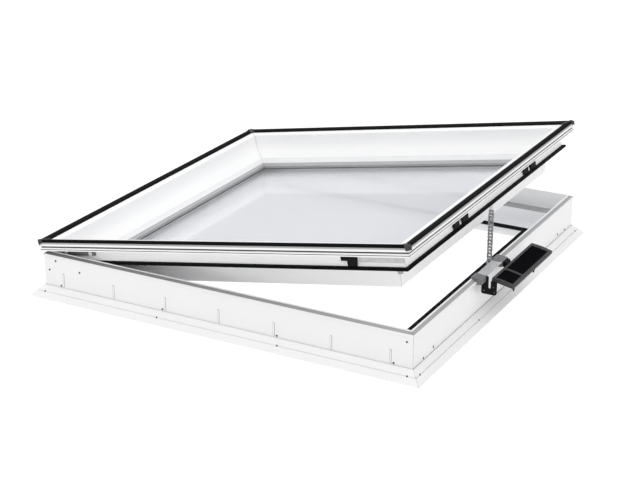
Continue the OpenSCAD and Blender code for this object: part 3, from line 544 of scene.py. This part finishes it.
grey_rubber = finish("grey_rubber", (0.33, 0.33, 0.335), (0.38, 0.38, 0.385), (0.55, 0.75), shine=0.2, grain=500)
black_rubber = finish("black_rubber", (0.002, 0.002, 0.002), (0.005, 0.005, 0.005), (0.6, 0.8), shine=0.06, grain=500)
seal_m, seal_w, seal_t = SEAT_DEPTH - 48, 47, 2
seat_section = rounded([
    (seal_m, SEAT_Z), (seal_m, SEAT_Z + seal_t, 0.6), (seal_m + seal_w, SEAT_Z + seal_t, 0.6),
    (seal_m + seal_w, SEAT_Z),
])
seat_parts = [bar(f"seat_{side}", seat_section, side, gap=0) for side in ("front", "back", "hinge")]
with bpy.context.temp_override(active_object=seat_parts[0], selected_editable_objects=seat_parts):
    bpy.ops.object.join()
seat_seal = seat_parts[0]
seat_seal.name = "seat_seal_band"
soften(seat_seal, 0.4)
hand_over(seat_seal, grey_rubber, "kerb", "grey_rubber", "seat_seal")


def ring(name, section, place=None):
    """Closed ring of a section round all four sides."""
    n = len(section)
    verts = [corner_point(c, *p) for c in range(4) for p in section]
    faces = [
        (c * n + i, c * n + (i + 1) % n, (c + 1) % 4 * n + (i + 1) % n, (c + 1) % 4 * n + i)
        for c in range(4) for i in range(n)
    ]
    return solid(name, verts, faces, place)


lip_end = SHAFT_DEPTH + 18
lip_seal = ring("shaft_lip", rounded([
    (SHAFT_DEPTH - 14, SHAFT_FLOOR), (SHAFT_DEPTH - 14, SHAFT_FLOOR + 4.5, 1.5), (SHAFT_DEPTH - 6, SHAFT_FLOOR + 4.5),
    (SHAFT_DEPTH - 5, SHAFT_FLOOR + 3.6), (SHAFT_DEPTH - 4, SHAFT_FLOOR + 4.4), (SHAFT_DEPTH + 4, SHAFT_FLOOR + 4),
    (lip_end, SHAFT_FLOOR + 3, 0.7), (lip_end, SHAFT_FLOOR + 1.5, 0.7), (SHAFT_DEPTH, SHAFT_FLOOR),
]))
soften(lip_seal, 0.3)
hand_over(lip_seal, black_rubber, "kerb", "black_rubber", "shaft_seal")


# ---- Hinges ----
# Dark steel plates: a bracket screwed behind the rim and an arm screwed into the sash, with a bright pin
# through both.

zinc = finish(
    "zinc", (0.5, 0.5, 0.51), (0.66, 0.66, 0.67), (0.22, 0.42), metallic=1.0, drift=60, grain=300, stretch=(1, 1, 8)
)


def coat(material, *nodes):
    """Gives CAD nodes a better material."""
    for name in nodes:
        data = frame["nodes"][name].data
        data.materials.clear()
        data.materials.append(material)


hinge_steel = finish(
    "hinge_steel", (0.13, 0.13, 0.135), (0.19, 0.19, 0.195), (0.4, 0.55), metallic=0.4, shine=0.3, drift=30, grain=300
)
for end in ("front", "back"):
    coat(hinge_steel, f"hinge_bracket_{end}", f"hinge_arm_{end}")
    coat(zinc, f"hinge_pin_{end}")


# ---- Actuator ----
# A dark steel tray in the rail's pocket under a white cover, with a geared motor, a board and a battery pack inside.
# The sprocket on the motor's shaft pushes the chain up through the cover's slot.

battery_wrap = finish("battery_wrap", (0.02, 0.03, 0.05), (0.035, 0.045, 0.07), (0.3, 0.4))
motor_case = finish("motor_case", (0.07, 0.07, 0.075), (0.1, 0.1, 0.105), (0.4, 0.55))
board_lacquer = finish("board_lacquer", (0.01, 0.09, 0.03), (0.02, 0.13, 0.05), (0.25, 0.4), drift=90)
coat(dark_coat, "actuator_housing")
coat(white_plastic, "actuator_cover")
coat(motor_case, "gearmotor")
coat(battery_wrap, "battery_pack")
coat(board_lacquer, "control_board")
bright_steel = finish(
    "bright_steel", (0.7, 0.7, 0.71), (0.85, 0.85, 0.86), (0.25, 0.4), metallic=0.4, drift=60, grain=300
)
coat(zinc, "output_shaft", "sprocket", "yoke_pin")
coat(bright_steel, "chain_yoke", "chain_bracket")


# ---- Chain ----
# A plated steel push chain: rollers on pins, with inner and outer link plates in turn.
# It runs straight up from the sprocket, and gets shorter as the sash comes down.

chain_low, chain_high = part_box("chain")
CHAIN_PITCH, ROLLER_R, PIN_R, LINK_R, LINK_T, PIN_ENDS, PIN_PROUD = 12, 3.8, 2, 5.2, 2.4, 2.4, 0.9
FIRST_PIN, INNER_SHARE, WAIST_SHARE, SHUT_SHARE = 4.6, 0.2125, 1.4, 0.09
CHAIN_W = (chain_high.x - chain_low.x) / MM + PIN_ENDS
chain_foot = Vector(((chain_low.x + chain_high.x) / 2, 0, chain_low.z + FIRST_PIN * MM))
link_count = round((chain_high.z - chain_low.z - 2 * FIRST_PIN * MM) / (CHAIN_PITCH * MM))

chain_tree, given, result = new_tree("push_chain", [
    ("Pitch", "Float"), ("Links", "Int"), ("Roller Radius", "Float"), ("Pin Radius", "Float"), ("Width", "Float"),
    ("Plate Radius", "Float"), ("Plate Thickness", "Float"), ("Material", "Material"),
])


def chain_node(kind, **settings):
    """Node of the chain's tree with some of its properties set."""
    node = chain_tree.nodes.new(kind)
    for key, value in settings.items():
        setattr(node, key, value)
    return node


def chain_math(operation, a, b):
    """Result of a sum in the chain's tree, where each side is a socket or a number."""
    node = chain_node("ShaderNodeMath", operation=operation)
    for socket, value in zip(node.inputs, (a, b)):
        if isinstance(value, (int, float)):
            socket.default_value = value
        else:
            chain_tree.links.new(value, socket)
    return node.outputs[0]


def chain_xyz(x, y, z):
    """Vector socket from three sockets or numbers."""
    node = chain_node("ShaderNodeCombineXYZ")
    for socket, value in zip(node.inputs, (x, y, z)):
        if isinstance(value, (int, float)):
            socket.default_value = value
        else:
            chain_tree.links.new(value, socket)
    return node.outputs[0]


def chain_rod(radius, depth, sides):
    """Round bar along x."""
    node = chain_node("GeometryNodeMeshCylinder")
    node.inputs["Vertices"].default_value = sides
    chain_tree.links.new(radius, node.inputs["Radius"])
    chain_tree.links.new(depth, node.inputs["Depth"])
    turned = chain_node("GeometryNodeTransform")
    turned.inputs["Rotation"].default_value = (0, math.pi / 2, 0)
    chain_tree.links.new(node.outputs["Mesh"], turned.inputs["Geometry"])
    return turned.outputs["Geometry"]


def chain_copies(points, shape, pick=None):
    """Copies of a shape on the picked points."""
    node = chain_node("GeometryNodeInstanceOnPoints")
    chain_tree.links.new(points, node.inputs["Points"])
    chain_tree.links.new(shape, node.inputs["Instance"])
    if pick is not None:
        chain_tree.links.new(pick, node.inputs["Selection"])
    return node.outputs["Instances"]


def chain_line(count):
    """Points up the chain, a pitch apart."""
    node = chain_node("GeometryNodeMeshLine")
    chain_tree.links.new(count, node.inputs["Count"])
    chain_tree.links.new(chain_xyz(0, 0, given.outputs["Pitch"]), node.inputs["Offset"])
    return node.outputs["Mesh"]


pins = chain_line(chain_math("ADD", given.outputs["Links"], 1))
joined = chain_node("GeometryNodeJoinGeometry")
plate_t = given.outputs["Plate Thickness"]
inner_x = chain_math("MULTIPLY", given.outputs["Width"], INNER_SHARE)
half_width = chain_math("MULTIPLY", given.outputs["Width"], 0.5)
outer_x = chain_math("SUBTRACT", chain_math("SUBTRACT", half_width, plate_t), PIN_PROUD * MM)
rollers = chain_rod(given.outputs["Roller Radius"], chain_math("MULTIPLY", inner_x, 2), 20)
chain_tree.links.new(chain_copies(pins, rollers), joined.inputs[0])
rods = chain_rod(given.outputs["Pin Radius"], given.outputs["Width"], 12)
chain_tree.links.new(chain_copies(pins, rods), joined.inputs[0])

eye = chain_rod(given.outputs["Plate Radius"], plate_t, 20)
plate = chain_node("GeometryNodeJoinGeometry")
chain_tree.links.new(eye, plate.inputs[0])
far_eye = chain_node("GeometryNodeTransform")
chain_tree.links.new(eye, far_eye.inputs["Geometry"])
chain_tree.links.new(chain_xyz(0, 0, given.outputs["Pitch"]), far_eye.inputs["Translation"])
chain_tree.links.new(far_eye.outputs["Geometry"], plate.inputs[0])
web = chain_node("GeometryNodeMeshCube")
waist = chain_math("MULTIPLY", given.outputs["Plate Radius"], WAIST_SHARE)
chain_tree.links.new(chain_xyz(plate_t, waist, given.outputs["Pitch"]), web.inputs["Size"])
raised = chain_node("GeometryNodeTransform")
chain_tree.links.new(web.outputs["Mesh"], raised.inputs["Geometry"])
half_pitch = chain_math("MULTIPLY", given.outputs["Pitch"], 0.5)
chain_tree.links.new(chain_xyz(0, 0, half_pitch), raised.inputs["Translation"])
chain_tree.links.new(raised.outputs["Geometry"], plate.inputs[0])

links_line = chain_line(given.outputs["Links"])
odd = chain_math("MODULO", chain_node("GeometryNodeInputIndex").outputs["Index"], 2)
for start, pick in ((inner_x, chain_math("SUBTRACT", 1, odd)), (outer_x, odd)):
    for s in (-1, 1):
        moved = chain_node("GeometryNodeTransform")
        chain_tree.links.new(plate.outputs["Geometry"], moved.inputs["Geometry"])
        middle = chain_math("ADD", start, chain_math("MULTIPLY", plate_t, 0.5))
        chain_tree.links.new(chain_xyz(chain_math("MULTIPLY", middle, s), 0, 0), moved.inputs["Translation"])
        chain_tree.links.new(chain_copies(links_line, moved.outputs["Geometry"], pick), joined.inputs[0])
close_tree(chain_tree, joined.outputs["Geometry"], given, result)

chain_steel = finish(
    "chain_steel", (0.03, 0.03, 0.032), (0.7, 0.7, 0.71), (0.18, 0.4), metallic=1.0, drift=140, grain=700
)
chain_mesh = bpy.data.meshes.new("push_chain")
chain_mesh.from_pydata([(0, 0, 0)], [], [])
chain = bpy.data.objects.new("push_chain", chain_mesh)
bpy.context.scene.collection.objects.link(chain)
grow(chain, chain_tree, {
    "Pitch": CHAIN_PITCH * MM, "Links": link_count, "Roller Radius": ROLLER_R * MM, "Pin Radius": PIN_R * MM,
    "Width": CHAIN_W * MM, "Plate Radius": LINK_R * MM, "Plate Thickness": LINK_T * MM, "Material": chain_steel,
})
chain.data.transform(Matrix.Translation(chain_foot))
chain.data.set_sharp_from_angle(angle=math.radians(40))
hand_over(chain, chain_steel, "kerb", "zinc_steel", "chain")
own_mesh(chain)


# ---- Saddles, rim plate and clamp ----
# Two painted saddles lie over the opening side's rim and grip under its edge, with a light plate between them.
# A black slotted clamp plate hangs on the near saddle, and a black block on the far one reaches the solar panel.

SADDLE_OUT, SADDLE_HOLE_R, SADDLE_HOLE_OUT, SADDLE_HOLE_ALONG = 22, 2, 6, 8
END_FROM, END_TO = -42, -8
saddle_paint = finish("saddle_paint", (0.17, 0.17, 0.175), (0.22, 0.22, 0.225), (0.35, 0.5), metallic=0.3)
black_paint = finish("black_paint", (0.008, 0.008, 0.009), (0.014, 0.014, 0.015), (0.5, 0.65), shine=0.05)
plate_finish = finish(
    "plate_finish", (0.4, 0.4, 0.41), (0.74, 0.74, 0.75), (0.3, 0.5), metallic=0.35, drift=60, grain=60,
    stretch=(1, 6, 1),
)
saddle_top = LIP_Z + 3.5
for name, node in (("near_saddle", "saddle_near"), ("far_saddle", "saddle_far")):
    low, high = (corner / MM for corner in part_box(node))
    reach = high.x - HALF if node == "saddle_near" else SADDLE_OUT
    edge = -RIM_OUT - 0.3
    section = rounded([
        (RIM_DEPTH - 0.5, LIP_Z + 0.3), (RIM_DEPTH - 0.5, saddle_top + 3.6, 1), (-reach, saddle_top - 0.6, 2),
        (-reach, RIM_H - 7, 1), (edge - 1, RIM_H - 8, 1), (-1, RIM_H - 8.5, 0.5),
        (-1, RIM_H - RIM_OUT - 0.3), (edge, RIM_H - 4.3), (edge, RIM_H + 0.3), (RIM_DEPTH - 4.2, LIP_Z + 0.3),
    ], 5)
    saddle = extruded(name, [(HALF - m, z) for m, z in section], low.y, high.y)
    middle = Vector((HALF + SADDLE_HOLE_OUT, low.y + SADDLE_HOLE_ALONG, 0)) * MM
    upright = Matrix.Translation(middle) @ Matrix.Rotation(math.pi / 2, 4, "X")
    cut(saddle, extruded("hole", circle(SADDLE_HOLE_R, 16), saddle_top - 2, saddle_top + 6, upright))
    soften(saddle, 0.6, 3)
    hand_over(saddle, saddle_paint, "kerb", "bracket_metal", node)
end_in = HALF + SADDLE_OUT + 0.2
saddle_end = extruded("saddle_end", rounded([
    (end_in, RIM_H - 9), (end_in, saddle_top - 1, 1), (end_in + 11, saddle_top - 2.5, 1.5),
    (end_in + 14, RIM_H + 4, 1.5), (end_in + 14, RIM_H - 9, 1),
]), END_FROM, END_TO)
cut(saddle_end, block("window", (end_in + 3, -60, RIM_H - 3), (end_in + 8, 20, RIM_H + 6)))
soften(saddle_end, 0.5)
hand_over(saddle_end, black_paint, "kerb", "black_metal")

low, high = (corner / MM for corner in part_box("rim_plate"))
rim_plate = extruded("rim_cover_plate", rounded([
    (low.x, low.z), (low.x, high.z, 0.5), (low.x + 4, high.z), (low.x + 4.6, high.z - 0.5), (high.x - 8, high.z - 0.5),
    (high.x - 7.4, high.z), (high.x, high.z, 1), (high.x, low.z),
]), low.y, high.y)
soften(rim_plate, 0.3)
hand_over(rim_plate, plate_finish, "kerb", "plate_metal", "rim_plate")
coat(black_paint, "panel_clamp")


# ---- Solar panel ----
# A charcoal moulded frame with a crowned top, two sunk fields of black cells, a back plate and two rubber pins.

charcoal = finish(
    "charcoal", (0.055, 0.055, 0.057), (0.07, 0.07, 0.072), (0.5, 0.65), shine=0.15, drift=40, grain=1400, depth=0.05
)
cell_face = finish("cell_face", (0.004, 0.004, 0.005), (0.007, 0.007, 0.008), (0.3, 0.4), shine=0.0, drift=30)
coat(charcoal, "panel_back", "panel_frame")
coat(cell_face, "panel_cell_small", "panel_cell_large")
coat(black_rubber, "panel_pins")


# ---- Sash frame ----
# Four hollow white profiles mitred like the kerb. The outside has a drip groove and a channel for the cover's
# clips, and the inside slopes down to the glass.

hinge = next(joint for joint in frame["joints"] if joint["name"] == "sash_hinge")
pivot = Vector(hinge["pos_m"])
opened = (
    Matrix.Translation(pivot) @ Matrix.Rotation(math.radians(hinge["range_deg"][0]), 4, "Y")
    @ Matrix.Translation(-pivot)
)
UNDERSIDE, SASH_H, SASH_OUT, SKIRT_DROP = 118, 81.5, 7.6, 80
SASH_TOP, SKIRT_Z = UNDERSIDE + SASH_H, UNDERSIDE - SKIRT_DROP
LEDGE_Z, KNEE_Z, CHANNEL, REVEAL, BEAD_DEPTH, SKIRT_DEPTH = LIP_Z + 8, UNDERSIDE + 37.5, 33, 46, 91, 86
GLASS_T, GLASS_SEAL_H, BEAD_H, GROOVE_DROP, GLASS_LIP = 26, 7.6, 29, 14.7, 13
PANE_Z, WALL = SKIRT_Z + 6, 3
BEAD_Z = PANE_Z + GLASS_T + GLASS_SEAL_H
BEAD_TOP = BEAD_Z + BEAD_H
GROOVE = SASH_TOP - GROOVE_DROP
lip_in = SKIRT_DEPTH + WALL + GLASS_LIP
sash_section = rounded([
    (-4, SASH_TOP), (-SASH_OUT, SASH_TOP - 7.5), (-SASH_OUT, GROOVE), (-SASH_OUT + 4, GROOVE),
    (-SASH_OUT + 4, GROOVE - 5.6), (-SASH_OUT + 0.6, GROOVE - 6.4), (-SASH_OUT, GROOVE - 10.6),
    (-SASH_OUT + 3, GROOVE - 10.8), (-SASH_OUT + 3, GROOVE - 12.6), (-SASH_OUT, GROOVE - 12.8),
    (-SASH_OUT, LEDGE_Z, 1.5),
    (CHANNEL, LEDGE_Z, 0.8), (CHANNEL, UNDERSIDE + 18, 3), (30, UNDERSIDE + 11), (30, UNDERSIDE),
    (76, UNDERSIDE, 2), (SKIRT_DEPTH, SKIRT_Z, 1.5), (lip_in, SKIRT_Z, 1), (lip_in, PANE_Z - 1),
    (SKIRT_DEPTH + WALL, PANE_Z - 1), (SKIRT_DEPTH + WALL, BEAD_TOP), (BEAD_DEPTH, BEAD_TOP, 1),
    (REVEAL, KNEE_Z, 75), (REVEAL + 1, SASH_TOP - 5, 3), (21, SASH_TOP - 1),
], 5)
bead_section = rounded([
    (SKIRT_DEPTH + WALL + 0.2, BEAD_Z), (SKIRT_DEPTH + WALL + 0.2, BEAD_TOP - 0.3, 0.5),
    (BEAD_DEPTH, BEAD_TOP - 0.3, 0.8), (BEAD_DEPTH + 4.5, BEAD_Z + 12), (BEAD_DEPTH + 3.8, BEAD_Z + 10.5),
    (BEAD_DEPTH + 8, BEAD_Z, 1),
])
# The sash's white is a lighter copy of the kerb's white PVC. It is painted light that brightens the sash and its
# reveals.
sash_white_painted_light = finish(
    "sash_white_painted_light", (0.93, 0.93, 0.935), (0.95, 0.95, 0.95), (0.28, 0.4), grain=40, depth=0.01, stretch=(0.4, 0.4, 22)
)
# Near-black painted shade for the faces of the sash's two drip grooves.
painted_groove_shade = finish("painted_groove_shade", (0.03, 0.03, 0.031), (0.05, 0.05, 0.051), (0.6, 0.8), shine=0.1)
# This grey is the glass unit's edge seal. On the sash's top chamfer under the black seal, it is painted shade.
edge_seal_and_chamfer_shade = finish("edge_seal_and_chamfer_shade", (0.42, 0.42, 0.425), (0.48, 0.48, 0.485), (0.5, 0.65), shine=0.2)
bead_foot = finish("bead_foot", (0.5, 0.5, 0.505), (0.55, 0.55, 0.555), (0.5, 0.65), shine=0.2)
# The top chamfer and the faces of the two drip grooves get their painted shade here.
sash_lines = [
    ((-SASH_OUT, SASH_TOP - 7.4), (-3.5, SASH_TOP - 0.1), 1), ((-SASH_OUT + 0.1, GROOVE - 5.7), (-2, GROOVE - 0.01), 2),
    ((-SASH_OUT + 0.1, GROOVE - 12.79), (-2, GROOVE - 10.61), 2),
]
for side in SIDES:
    rail = bar(f"sash_{side}", sash_section, side, place=opened)
    soften(rail, 0.3)
    hand_over(rail, sash_white_painted_light, "sash", "white_pvc", f"sash_rail_{side}", inlays_and_shades=(edge_seal_and_chamfer_shade, painted_groove_shade, painted_crevice_shade))
    line_with(rail, sash_lines, opened)
    # The weld ends get painted shade in the weld gap.
    shade_ends(rail, 3, opened)
    strip = bar(f"glazing_bead_{side}", bead_section, side, place=opened)
    soften(strip, 0.2)
    hand_over(strip, sash_white_painted_light, "sash", "white_pvc", f"bead_{side}", inlays_and_shades=(bead_foot,))
    line_with(strip, [((BEAD_DEPTH + 3.5, BEAD_Z + 1), (BEAD_DEPTH + 7.9, BEAD_Z + 12), 1)], opened)


# ---- Glass unit ----
# A clear outer pane and a laminated inner pane with a milky film, with an aluminium spacer between them.
# The unit is sealed at the edge and bedded on a grey seal.

pane_glass = bpy.data.materials.new("pane_glass")
pane_glass.use_nodes = True
nodes, links = pane_glass.node_tree.nodes, pane_glass.node_tree.links
nodes.remove(nodes["Principled BSDF"])
clear = nodes.new("ShaderNodeBsdfTransparent")
clear.inputs["Color"].default_value = (0.982, 0.985, 0.99, 1)
gloss = nodes.new("ShaderNodeBsdfGlossy")
gloss.inputs["Roughness"].default_value = 0.02
gloss.inputs["Color"].default_value = (1, 1, 1, 1)
facing = nodes.new("ShaderNodeLayerWeight")
facing.inputs["Blend"].default_value = 0.5
edge_on = nodes.new("ShaderNodeMath")
edge_on.operation = "POWER"
edge_on.inputs[1].default_value = 5
links.new(facing.outputs["Facing"], edge_on.inputs[0])
mirror = nodes.new("ShaderNodeMapRange")
mirror.inputs["To Min"].default_value = 0.04
mirror.inputs["To Max"].default_value = 1
links.new(edge_on.outputs[0], mirror.inputs["Value"])
mixed = nodes.new("ShaderNodeMixShader")
links.new(mirror.outputs["Result"], mixed.inputs["Fac"])
links.new(clear.outputs[0], mixed.inputs[1])
links.new(gloss.outputs[0], mixed.inputs[2])
links.new(mixed.outputs[0], nodes["Material Output"].inputs["Surface"])
frosted_glass = pane_glass.copy()
frosted_glass.name = "frosted_glass"
nodes, links = frosted_glass.node_tree.nodes, frosted_glass.node_tree.links
haze = nodes.new("ShaderNodeTexNoise")
haze.inputs["Scale"].default_value = 3
links.new(nodes.new("ShaderNodeTexCoord").outputs["Object"], haze.inputs["Vector"])
veil = nodes.new("ShaderNodeMapRange")
veil.inputs["To Min"].default_value = 0.42
veil.inputs["To Max"].default_value = 0.48
links.new(haze.outputs["Fac"], veil.inputs["Value"])
film = nodes.new("ShaderNodeBsdfTranslucent")
film.inputs["Color"].default_value = (0.9, 0.915, 0.945, 1)
frosting = nodes.new("ShaderNodeMixShader")
links.new(veil.outputs["Result"], frosting.inputs["Fac"])
links.new(next(node for node in nodes if node.type == "MIX_SHADER" and node != frosting).outputs[0], frosting.inputs[1])
links.new(film.outputs[0], frosting.inputs[2])
links.new(frosting.outputs[0], nodes["Material Output"].inputs["Surface"])
coat(pane_glass, "glass_outer")
coat(frosted_glass, "glass_inner")
spacer_metal = finish("spacer_metal", (0.5, 0.5, 0.51), (0.6, 0.6, 0.61), (0.3, 0.45), metallic=1.0)
coat(spacer_metal, "spacer_bar")
coat(grey_rubber, "glazing_seal")
coat(edge_seal_and_chamfer_shade, "edge_seal")


# ---- Sash seals and corner caps ----
# A broad black seal round the sash's top under a separate outer cover, a charcoal cap over each of its corners,
# and a black lip seal round the underside.

top_seal = ring("top_seal_band", rounded([
    (-4, SASH_TOP), (-5.2, SASH_TOP - 1.6), (-6.8, SASH_TOP - 1.6), (-6.8, SASH_TOP + 6, 1.5),
    (-4.5, SASH_TOP + 7.6, 1.5), (6, SASH_TOP + 6, 6), (12, SASH_TOP + 4.4), (12.6, SASH_TOP + 3.8),
    (13.2, SASH_TOP + 4), (21, SASH_TOP + 0.4, 1), (21, SASH_TOP - 1),
], 5), opened)
soften(top_seal, 0.3)
hand_over(top_seal, black_rubber, "sash", "black_rubber", "top_seal")

CAP_W = 20
cap_plastic = finish(
    "cap_plastic", (0.04, 0.04, 0.042), (0.055, 0.055, 0.057), (0.5, 0.65), shine=0.25, grain=1200, depth=0.04
)
outer = -(SASH_OUT + 1) * math.sqrt(2)
cap_outline = rounded([
    (outer, SASH_TOP - 9, 1), (outer, SASH_TOP + 6.5, 1.5), (outer + 3, SASH_TOP + 8, 2), (16, SASH_TOP + 6, 8),
    (34, SASH_TOP + 2, 1), (34, SASH_TOP - 0.4), (-4, SASH_TOP - 1), (-9.7, SASH_TOP - 8),
], 4)
for corner, name in enumerate(("fl", "fr", "br", "bl")):
    sx, sy = CORNERS[corner]
    turn = Matrix.Rotation(math.pi / 4 + corner * math.pi / 2, 4, "Z")
    place = opened @ Matrix.Translation(Vector((sx * HALF, sy * HALF, 0)) * MM) @ turn
    cap = extruded(f"cap_{name}", cap_outline, -CAP_W / 2, CAP_W / 2, place)
    soften(cap, 1.0, 3)
    hand_over(cap, cap_plastic, "sash", "charcoal_plastic", f"corner_cap_{name}")

lower_seal = ring("lower_lip", rounded([
    (30, UNDERSIDE + 6), (20, UNDERSIDE + 4.4, 2), (18.8, UNDERSIDE + 0.5, 2), (20.5, UNDERSIDE - 4.6, 1.5),
    (29.6, UNDERSIDE - 4.6, 0.5), (30, UNDERSIDE),
], 5), opened)
PIVOT_IN, ARM_BACK, ARM_L, ARM_ROOM, ARM_DEPTH, BEYOND = 30.5, 13, 146, 8, 21.2, 60
ROOM_LOW, ROOM_HIGH, BRACKET_FROM, BRACKET_TO, BRACKET_HALF_W = 50, 200, 60, 27, 10
arm_end_x = -HALF + PIVOT_IN - ARM_BACK + ARM_L + ARM_ROOM
rooms = []
for s in (-1, 1):
    low_y, high_y = sorted((s * (HALF + BEYOND), s * (HALF - ARM_DEPTH)))
    rooms.append(block("arm_room", (-HALF - BEYOND, low_y, ROOM_LOW), (arm_end_x, high_y, ROOM_HIGH), opened))
rooms.append(block(
    "bracket_room", (HALF - BRACKET_FROM, -BRACKET_HALF_W, 100), (HALF - BRACKET_TO, BRACKET_HALF_W, UNDERSIDE + 0.1),
    opened,
))
cut(lower_seal, *rooms)
hand_over(lower_seal, black_rubber, "sash", "black_rubber", "lower_seal")


# ---- Clips, pegs and screws of the sash ----
# Dark clips in the channel catch the outer cover, with a light plate beside the front one and the back one.
# Broad bright heads sit over the screws of the hinge arms, and two grey pegs guide the sash shut.

coat(black_paint, "cover_clips")
PLATE_FROM, PLATE_TO, PLATE_T, PLATE_GAP = 511, 667, 1.6, 0.05
PLATE_LOW, PLATE_HIGH = UNDERSIDE + 19, UNDERSIDE + 33
for side, face in (("front", -1), ("back", 1)):
    near, far = sorted(face * (HALF - CHANNEL + gap) for gap in (PLATE_GAP, PLATE_T))
    plate = block(f"channel_plate_{side}", (PLATE_FROM, near, PLATE_LOW), (PLATE_TO, far, PLATE_HIGH), opened)
    soften(plate, 0.4)
    hand_over(plate, plate_finish, "sash", "plate_metal")
coat(zinc, "sash_screws")
WASHER_R, WASHER_T, ARM_FACE, ARM_SCREW_Z, ARM_SCREWS_X = 8, 3, 28.9, 147, (-629.5, -524.5)
arm_washers = spread("arm_washers", pan_screw("arm_washer", WASHER_R, WASHER_T), [
    opened @ on_wall(side, face * x, ARM_SCREW_Z, ARM_FACE)
    for side, face in (("front", 1), ("back", -1)) for x in ARM_SCREWS_X
], bright_steel)
hand_over(arm_washers, bright_steel, "sash", "zinc_steel")
peg_plastic = finish("peg_plastic", (0.36, 0.36, 0.37), (0.42, 0.42, 0.43), (0.35, 0.5))
coat(peg_plastic, "locating_pegs")
